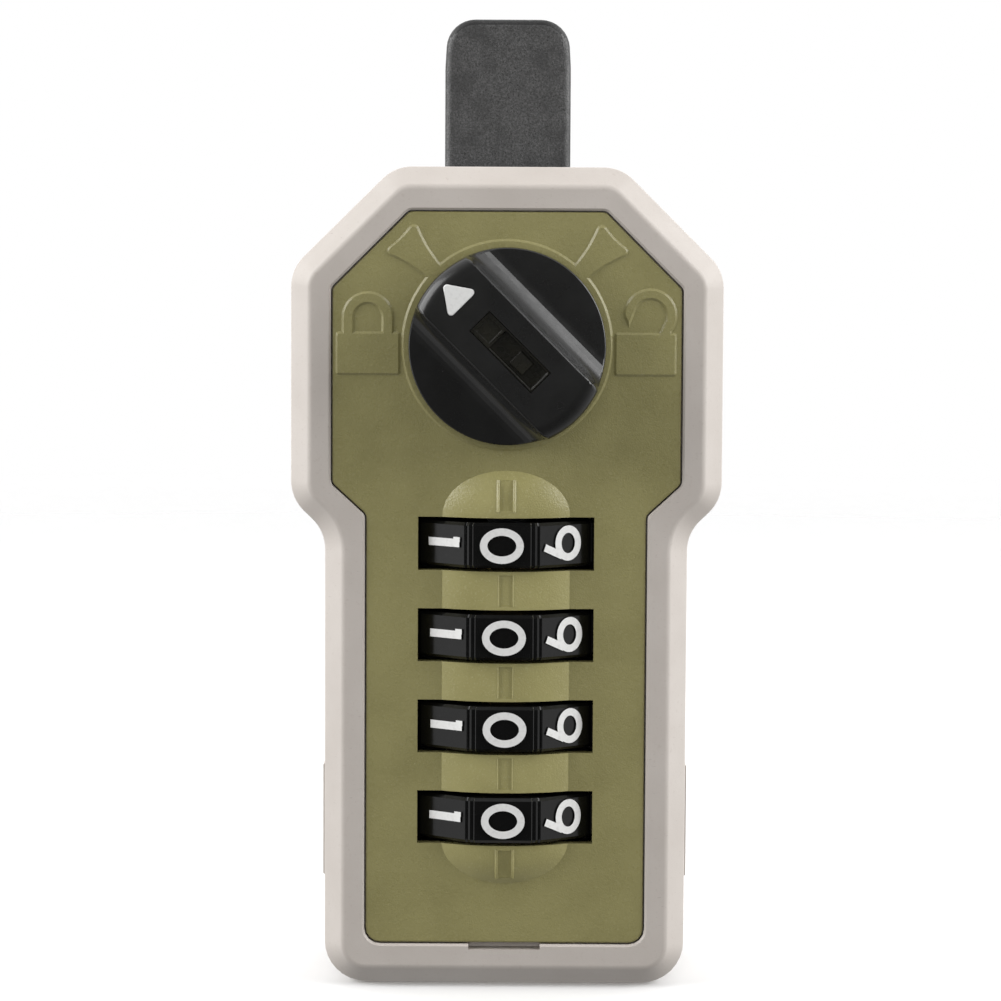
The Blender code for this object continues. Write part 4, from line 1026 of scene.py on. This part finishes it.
def make_pointer():
    """The white triangle on the grip, with a slightly sloping edge."""
    corners = pointer_corners()
    levels = [(rounded(resized(corners, -0.12 * MM), 5), KNOB_FRONT)]
    levels += [(rounded(corners, 5), KNOB_FRONT + 0.1 * MM), (rounded(corners, 5), KNOB_FRONT + 0.5 * MM)]
    pointer = solid("pointer_inlay", turned_to_grip(loft("pointer_inlay", levels)))
    finished(pointer, [LOOKS["white"]])
    install(pointer, "knob_train", "mark_white", "pointer_mark")


def make_keyway():
    """The insert in the key recess: a block with a deep keyway, and a short bar standing in it."""
    front, floor = KNOB_FRONT + 0.3 * MM, KNOB_FRONT + 1.5 * MM
    half, low_z, high_z = KEYWAY_HALF - KEYWAY_GAP, KEYWAY_ENDS[0] + KEYWAY_GAP, KEYWAY_ENDS[1] - KEYWAY_GAP
    block = box("keyway", (-half, front, low_z), (half, KEYWAY_BACK, high_z))
    slot = box("slot", (-1.6 * MM, front - MM, -6.1 * MM), (1.6 * MM, floor, 1.8 * MM))
    bar = box("bar", (-1.1 * MM, front + 0.35 * MM, -3.9 * MM), (1.1 * MM, floor + MM, -1.5 * MM))
    window = box("window", (-1.25 * MM, front - MM, 2.3 * MM), (1.25 * MM, front + 0.25 * MM, 4.7 * MM))
    steps = [(CUT, slot), (JOIN, bar), (CUT, window)]
    insert = solid("keyway", block, steps)
    turned_to_grip(insert.data)
    soften(insert, 0.07 * MM, 1)
    finished(insert, [LOOKS["core"]])
    install(insert, "knob_train", "knob_black", "keyway_insert")


# ---- rear ----


def make_tongue():
    """A flat cast tongue with well rounded edges and a square hole for the spindle."""
    half = TONGUE_HIGH.x
    top = TONGUE_HIGH.z
    shoulder = (half, top - 7.2 * MM, 20 * MM)
    corners = mirrored(((half - 0.4 * MM, top, 4.3 * MM), shoulder, (half, TONGUE_LOW.z, 7.5 * MM)))
    edge = 1.15 * MM
    levels = fillet_levels(corners, TONGUE_LOW.y, edge, 1, 5)
    levels += fillet_levels(corners, TONGUE_HIGH.y, edge, -1, 5)[::-1]
    cutter = turned_to_grip(prism("hole", SOCKET, TONGUE_LOW.y - MM, TONGUE_HIGH.y + MM))
    tongue = solid("cam_tongue", loft("cam_tongue", levels), [(CUT, cutter)])
    finished(tongue, [LOOKS["tongue"], LOOKS["tongue_painted_shade"]])
    # the sides and the upper bevels take the darker copy, which paints shade on them
    for polygon in tongue.data.polygons:
        flatness = abs(polygon.normal.y)
        polygon.material_index = int(flatness < 0.5 or (flatness < 0.95 and polygon.normal.z > 0.25))
    install(tongue, "knob_train", "tongue_dark", "tongue")


def make_collar():
    """The threaded collar: a flange inside, then thread ridges cut away on two sides."""
    radius, flat, depth, pitch, bore = 9.5 * MM, 8.0 * MM, 0.55 * MM, 1.25 * MM, 4.38 * MM
    back = COLLAR_HIGH.y
    start, end = 0.3 * MM, back - 0.8 * MM
    profile = [(radius - depth, -3 * MM), (radius - depth, start)]
    for turn in range(int((end - start) / pitch)):
        y = start + turn * pitch
        profile += [(radius, y + 0.35 * pitch), (radius, y + 0.5 * pitch)]
        profile += [(radius - depth, y + 0.85 * pitch), (radius - depth, y + pitch)]
    profile.append((radius - 1.1 * MM, back))
    bar = [(-flat, 12 * MM), (flat, 12 * MM), (flat, -12 * MM), (-flat, -12 * MM)]
    flange = [(11.2 * MM, COLLAR_LOW.y), (11.6 * MM, COLLAR_LOW.y + 0.4 * MM), (11.6 * MM, -2.3 * MM)]
    hollow = [(bore, COLLAR_LOW.y - MM), (bore, back - 0.5 * MM), (5.4 * MM, back + 0.5 * MM)]
    steps = [
        ("INTERSECT", prism("bar", bar, -5 * MM, back + MM)),
        (JOIN, revolved("flange", flange, 64)),
        (CUT, revolved("bore", hollow, 48)),
    ]
    collar = solid("collar_tube", revolved("collar_tube", profile, 72), steps)
    finished(collar, [LOOKS["zinc"]])
    install(collar, "housing", "hardware_zinc", "threaded_collar")


def chamfered_hexagon(name, radius, low, high, both=True):
    """A hexagonal prism whose corners are turned off at its back, and at its front if both."""
    outline = arc((0, 0), radius, 30, 330, 5)
    flat = radius * math.cos(math.radians(30))
    drop = (radius - flat) * 0.62
    cone = [(flat - 0.1 * MM if both else radius, low), (radius + 0.05 * MM, low + drop)]
    cone += [(radius + 0.05 * MM, high - drop), (flat - 0.1 * MM, high)]
    return prism(name, outline, low, high), revolved("cone", cone, 72)


def make_nut():
    """The hexagonal collar nut with a countersunk bore."""
    block, cone = chamfered_hexagon("hexagon_nut", NUT_HIGH.x, NUT_LOW.y, NUT_HIGH.y)
    bore, sink = 9.8 * MM, 0.6 * MM
    profile = [(bore + sink + 0.2 * MM, NUT_LOW.y - 0.2 * MM), (bore, NUT_LOW.y + sink)]
    profile += [(bore, NUT_HIGH.y - sink), (bore + sink + 0.2 * MM, NUT_HIGH.y + 0.2 * MM)]
    steps = [("INTERSECT", cone), (CUT, revolved("bore", profile, 72))]
    nut = solid("hexagon_nut", block, steps)
    finished(nut, [LOOKS["zinc"]])
    install(nut, "housing", "hardware_zinc", "collar_nut")


def make_lock_washer():
    """An external-tooth washer, its teeth leaning across its thickness."""
    outer, root, inner, teeth = LOCK_HIGH.x, 11.6 * MM, 9.8 * MM, 24
    pitch = 360 / teeth

    def toothed(shift):
        points = []
        for tooth in range(teeth):
            angle = tooth * pitch + shift
            points += arc((0, 0), outer, angle, angle + 0.45 * pitch, 2)
            points += arc((0, 0), root, angle + 0.55 * pitch, angle + 0.9 * pitch, 2)
        return points

    lean = 2.5
    levels = [(toothed(-lean), LOCK_LOW.y), (toothed(lean), LOCK_HIGH.y)]
    bore = rod("bore", inner, LOCK_LOW.y - MM, LOCK_HIGH.y + MM, 72)
    washer = solid("toothed_washer", loft("toothed_washer", levels), [(CUT, bore)])
    finished(washer, [LOOKS["zinc"]])
    install(washer, "housing", "hardware_zinc", "lock_washer")


def make_tongue_screw():
    """The hexagon-headed screw that holds the tongue, with a washer face and a turned-off head."""
    back, head_front = SCREW_HIGH.y, SCREW_HIGH.y - 3.6 * MM
    block, cone = chamfered_hexagon("tongue_bolt", 5.2 * MM, head_front, back, False)
    shank = [(1.7 * MM, SCREW_LOW.y), (2.1 * MM, SCREW_LOW.y + 0.4 * MM), (2.1 * MM, head_front + MM)]
    dimple = [(2.4 * MM, back - 0.25 * MM), (3.0 * MM, back + 0.2 * MM)]
    steps = [
        ("INTERSECT", cone),
        (JOIN, revolved("shank", shank, 32)),
        (CUT, revolved("dimple", dimple, 48)),
    ]
    screw = solid("tongue_bolt", block, steps)
    finished(screw, [LOOKS["zinc"]])
    install(screw, "knob_train", "hardware_zinc", "tongue_screw")


def numbered(name, count):
    return [f"{name}_{number}" for number in range(1, count + 1)]


CARRIED = {
    "rear": ["rear_plate", "wheel_carrier"],
    "zinc": ["wheel_axle", "drive_cam", "spindle", "locking_bar", *numbered("rear_screw", 4)]
    + numbered("carrier_screw", 4) + numbered("detent_screw", 2) + numbered("guide_rivet", 3),
    "spring": [
        "return_spring", "detent_spring", "axle_clip_upper", "axle_clip_lower",
        "thrust_washer", "spindle_clip", "tongue_washer", "follower_pin",
    ],
    "brass": numbered("code_ring", 4) + numbered("fixing_insert", 2),
}


def paint_carried_nodes():
    """The nodes that keep their own meshes get the same materials as the new pieces."""
    for look, names in CARRIED.items():
        for name in names:
            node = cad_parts[name]
            node.data.materials.clear()
            node.data.materials.append(LOOKS[look])


# ---- studio ----


def softbox(name, place, target, size, power):
    lamp = bpy.data.lights.new(name, "AREA")
    lamp.shape = "RECTANGLE"
    lamp.size, lamp.size_y = size
    lamp.energy = power
    light = placed(name, lamp)
    light.location = place
    light.rotation_euler = (Vector(target) - Vector(place)).to_track_quat("-Z", "Y").to_euler()
    return light


def make_floor():
    """A pale sheet under the lock that fades out with distance."""
    floor = solid("floor", prism("floor", circle(1.2, 96), -0.002, 0))
    level = Matrix.Translation((0, 0, BODY_BOTTOM - 0.2 * MM))
    floor.data.transform(level @ Matrix.Rotation(math.pi / 2, 4, "X"))
    paper = Shader("paper_floor", (0.86, 0.86, 0.86), 0.9)
    paper.grain(0.8, 3, 0.02)
    length = paper.add("VectorMath")
    length.operation = "LENGTH"
    paper.link(paper.place, length.inputs[0])
    paper.link(paper.spread(length.outputs["Value"], 0.25, 0.9, 1, 0), paper.shader.inputs["Alpha"])
    finished(floor, [paper.material])
    floor.visible_diffuse = False  # it throws no light back up
    floor.visible_glossy = False


def make_world():
    """Plain white to the camera. As a light it is strong behind, weak in front and below."""
    world = bpy.data.worlds.new("studio")
    world.use_nodes = True
    tree = world.node_tree
    add, link = tree.nodes.new, tree.links.new
    seen = tree.nodes["Background"]
    seen.inputs["Color"].default_value = (1, 1, 1, 1)
    seen.inputs["Strength"].default_value = 1.0
    lit = add("ShaderNodeBackground")
    lit.inputs["Color"].default_value = (1, 1, 1, 1)
    direction = add("ShaderNodeTexCoord")
    parts = add("ShaderNodeSeparateXYZ")
    link(direction.outputs["Generated"], parts.inputs["Vector"])
    strength = None
    for axis, *values in WORLD_RAMPS:
        ramp = add("ShaderNodeMapRange")
        ramp.interpolation_type = "SMOOTHSTEP"
        for socket, value in zip(RANGE_SOCKETS, values):
            ramp.inputs[socket].default_value = value
        link(parts.outputs[axis], ramp.inputs["Value"])
        if strength is None:
            strength = ramp.outputs["Result"]
            continue
        product = add("ShaderNodeMath")
        product.operation = "MULTIPLY"
        link(strength, product.inputs[0])
        link(ramp.outputs["Result"], product.inputs[1])
        strength = product.outputs["Value"]
    link(strength, lit.inputs["Strength"])
    path = add("ShaderNodeLightPath")
    mix = add("ShaderNodeMixShader")
    link(path.outputs["Is Camera Ray"], mix.inputs["Fac"])
    link(lit.outputs["Background"], mix.inputs[1])
    link(seen.outputs["Background"], mix.inputs[2])
    link(mix.outputs["Shader"], tree.nodes["World Output"].inputs["Surface"])
    bpy.context.scene.world = world


def make_studio():
    """A pale floor, white surroundings, a large softbox at each side and a weaker one far in front."""
    make_floor()
    make_world()
    aim = (0, -0.03, -0.02)
    softbox("left_box", (-0.78, -0.22, 0.36), aim, (0.7, 0.62), 6.2)
    softbox("right_box", (0.78, -0.22, 0.36), aim, (0.7, 0.62), 6.2)
    front = softbox("front_box", (0, -1.1, 0.12), aim, (0.5, 0.5), 3.2)
    front.visible_glossy = False  # it softens the shadows and leaves no reflection


def make_camera():
    """Aimed a little down at the middle of the lock."""
    distance, elevation, roll = 0.505, math.radians(4.9), math.radians(0.3)
    target = Vector((-0.8 * MM, PLATE_FRONT, -21.3 * MM))
    lens = bpy.data.cameras.new("camera")
    lens.lens = 132.4
    lens.sensor_width = 36
    lens.clip_start = 0.01
    camera = placed("camera", lens)
    direction = Vector((0, -math.cos(elevation), math.sin(elevation)))
    camera.location = target + direction * distance
    aim = (target - camera.location).to_track_quat("-Z", "Y").to_matrix().to_4x4()
    camera.rotation_euler = (aim @ Matrix.Rotation(roll, 4, "Z")).to_euler()
    bpy.context.scene.camera = camera


make_camera()
make_studio()
make_frame()
make_plate()
make_wheels()
make_knob()
make_pointer()
make_keyway()
make_tongue()
make_collar()
make_nut()
make_lock_washer()
make_tongue_screw()
paint_carried_nodes()
bpy.context.scene.view_settings.view_transform = "Standard"
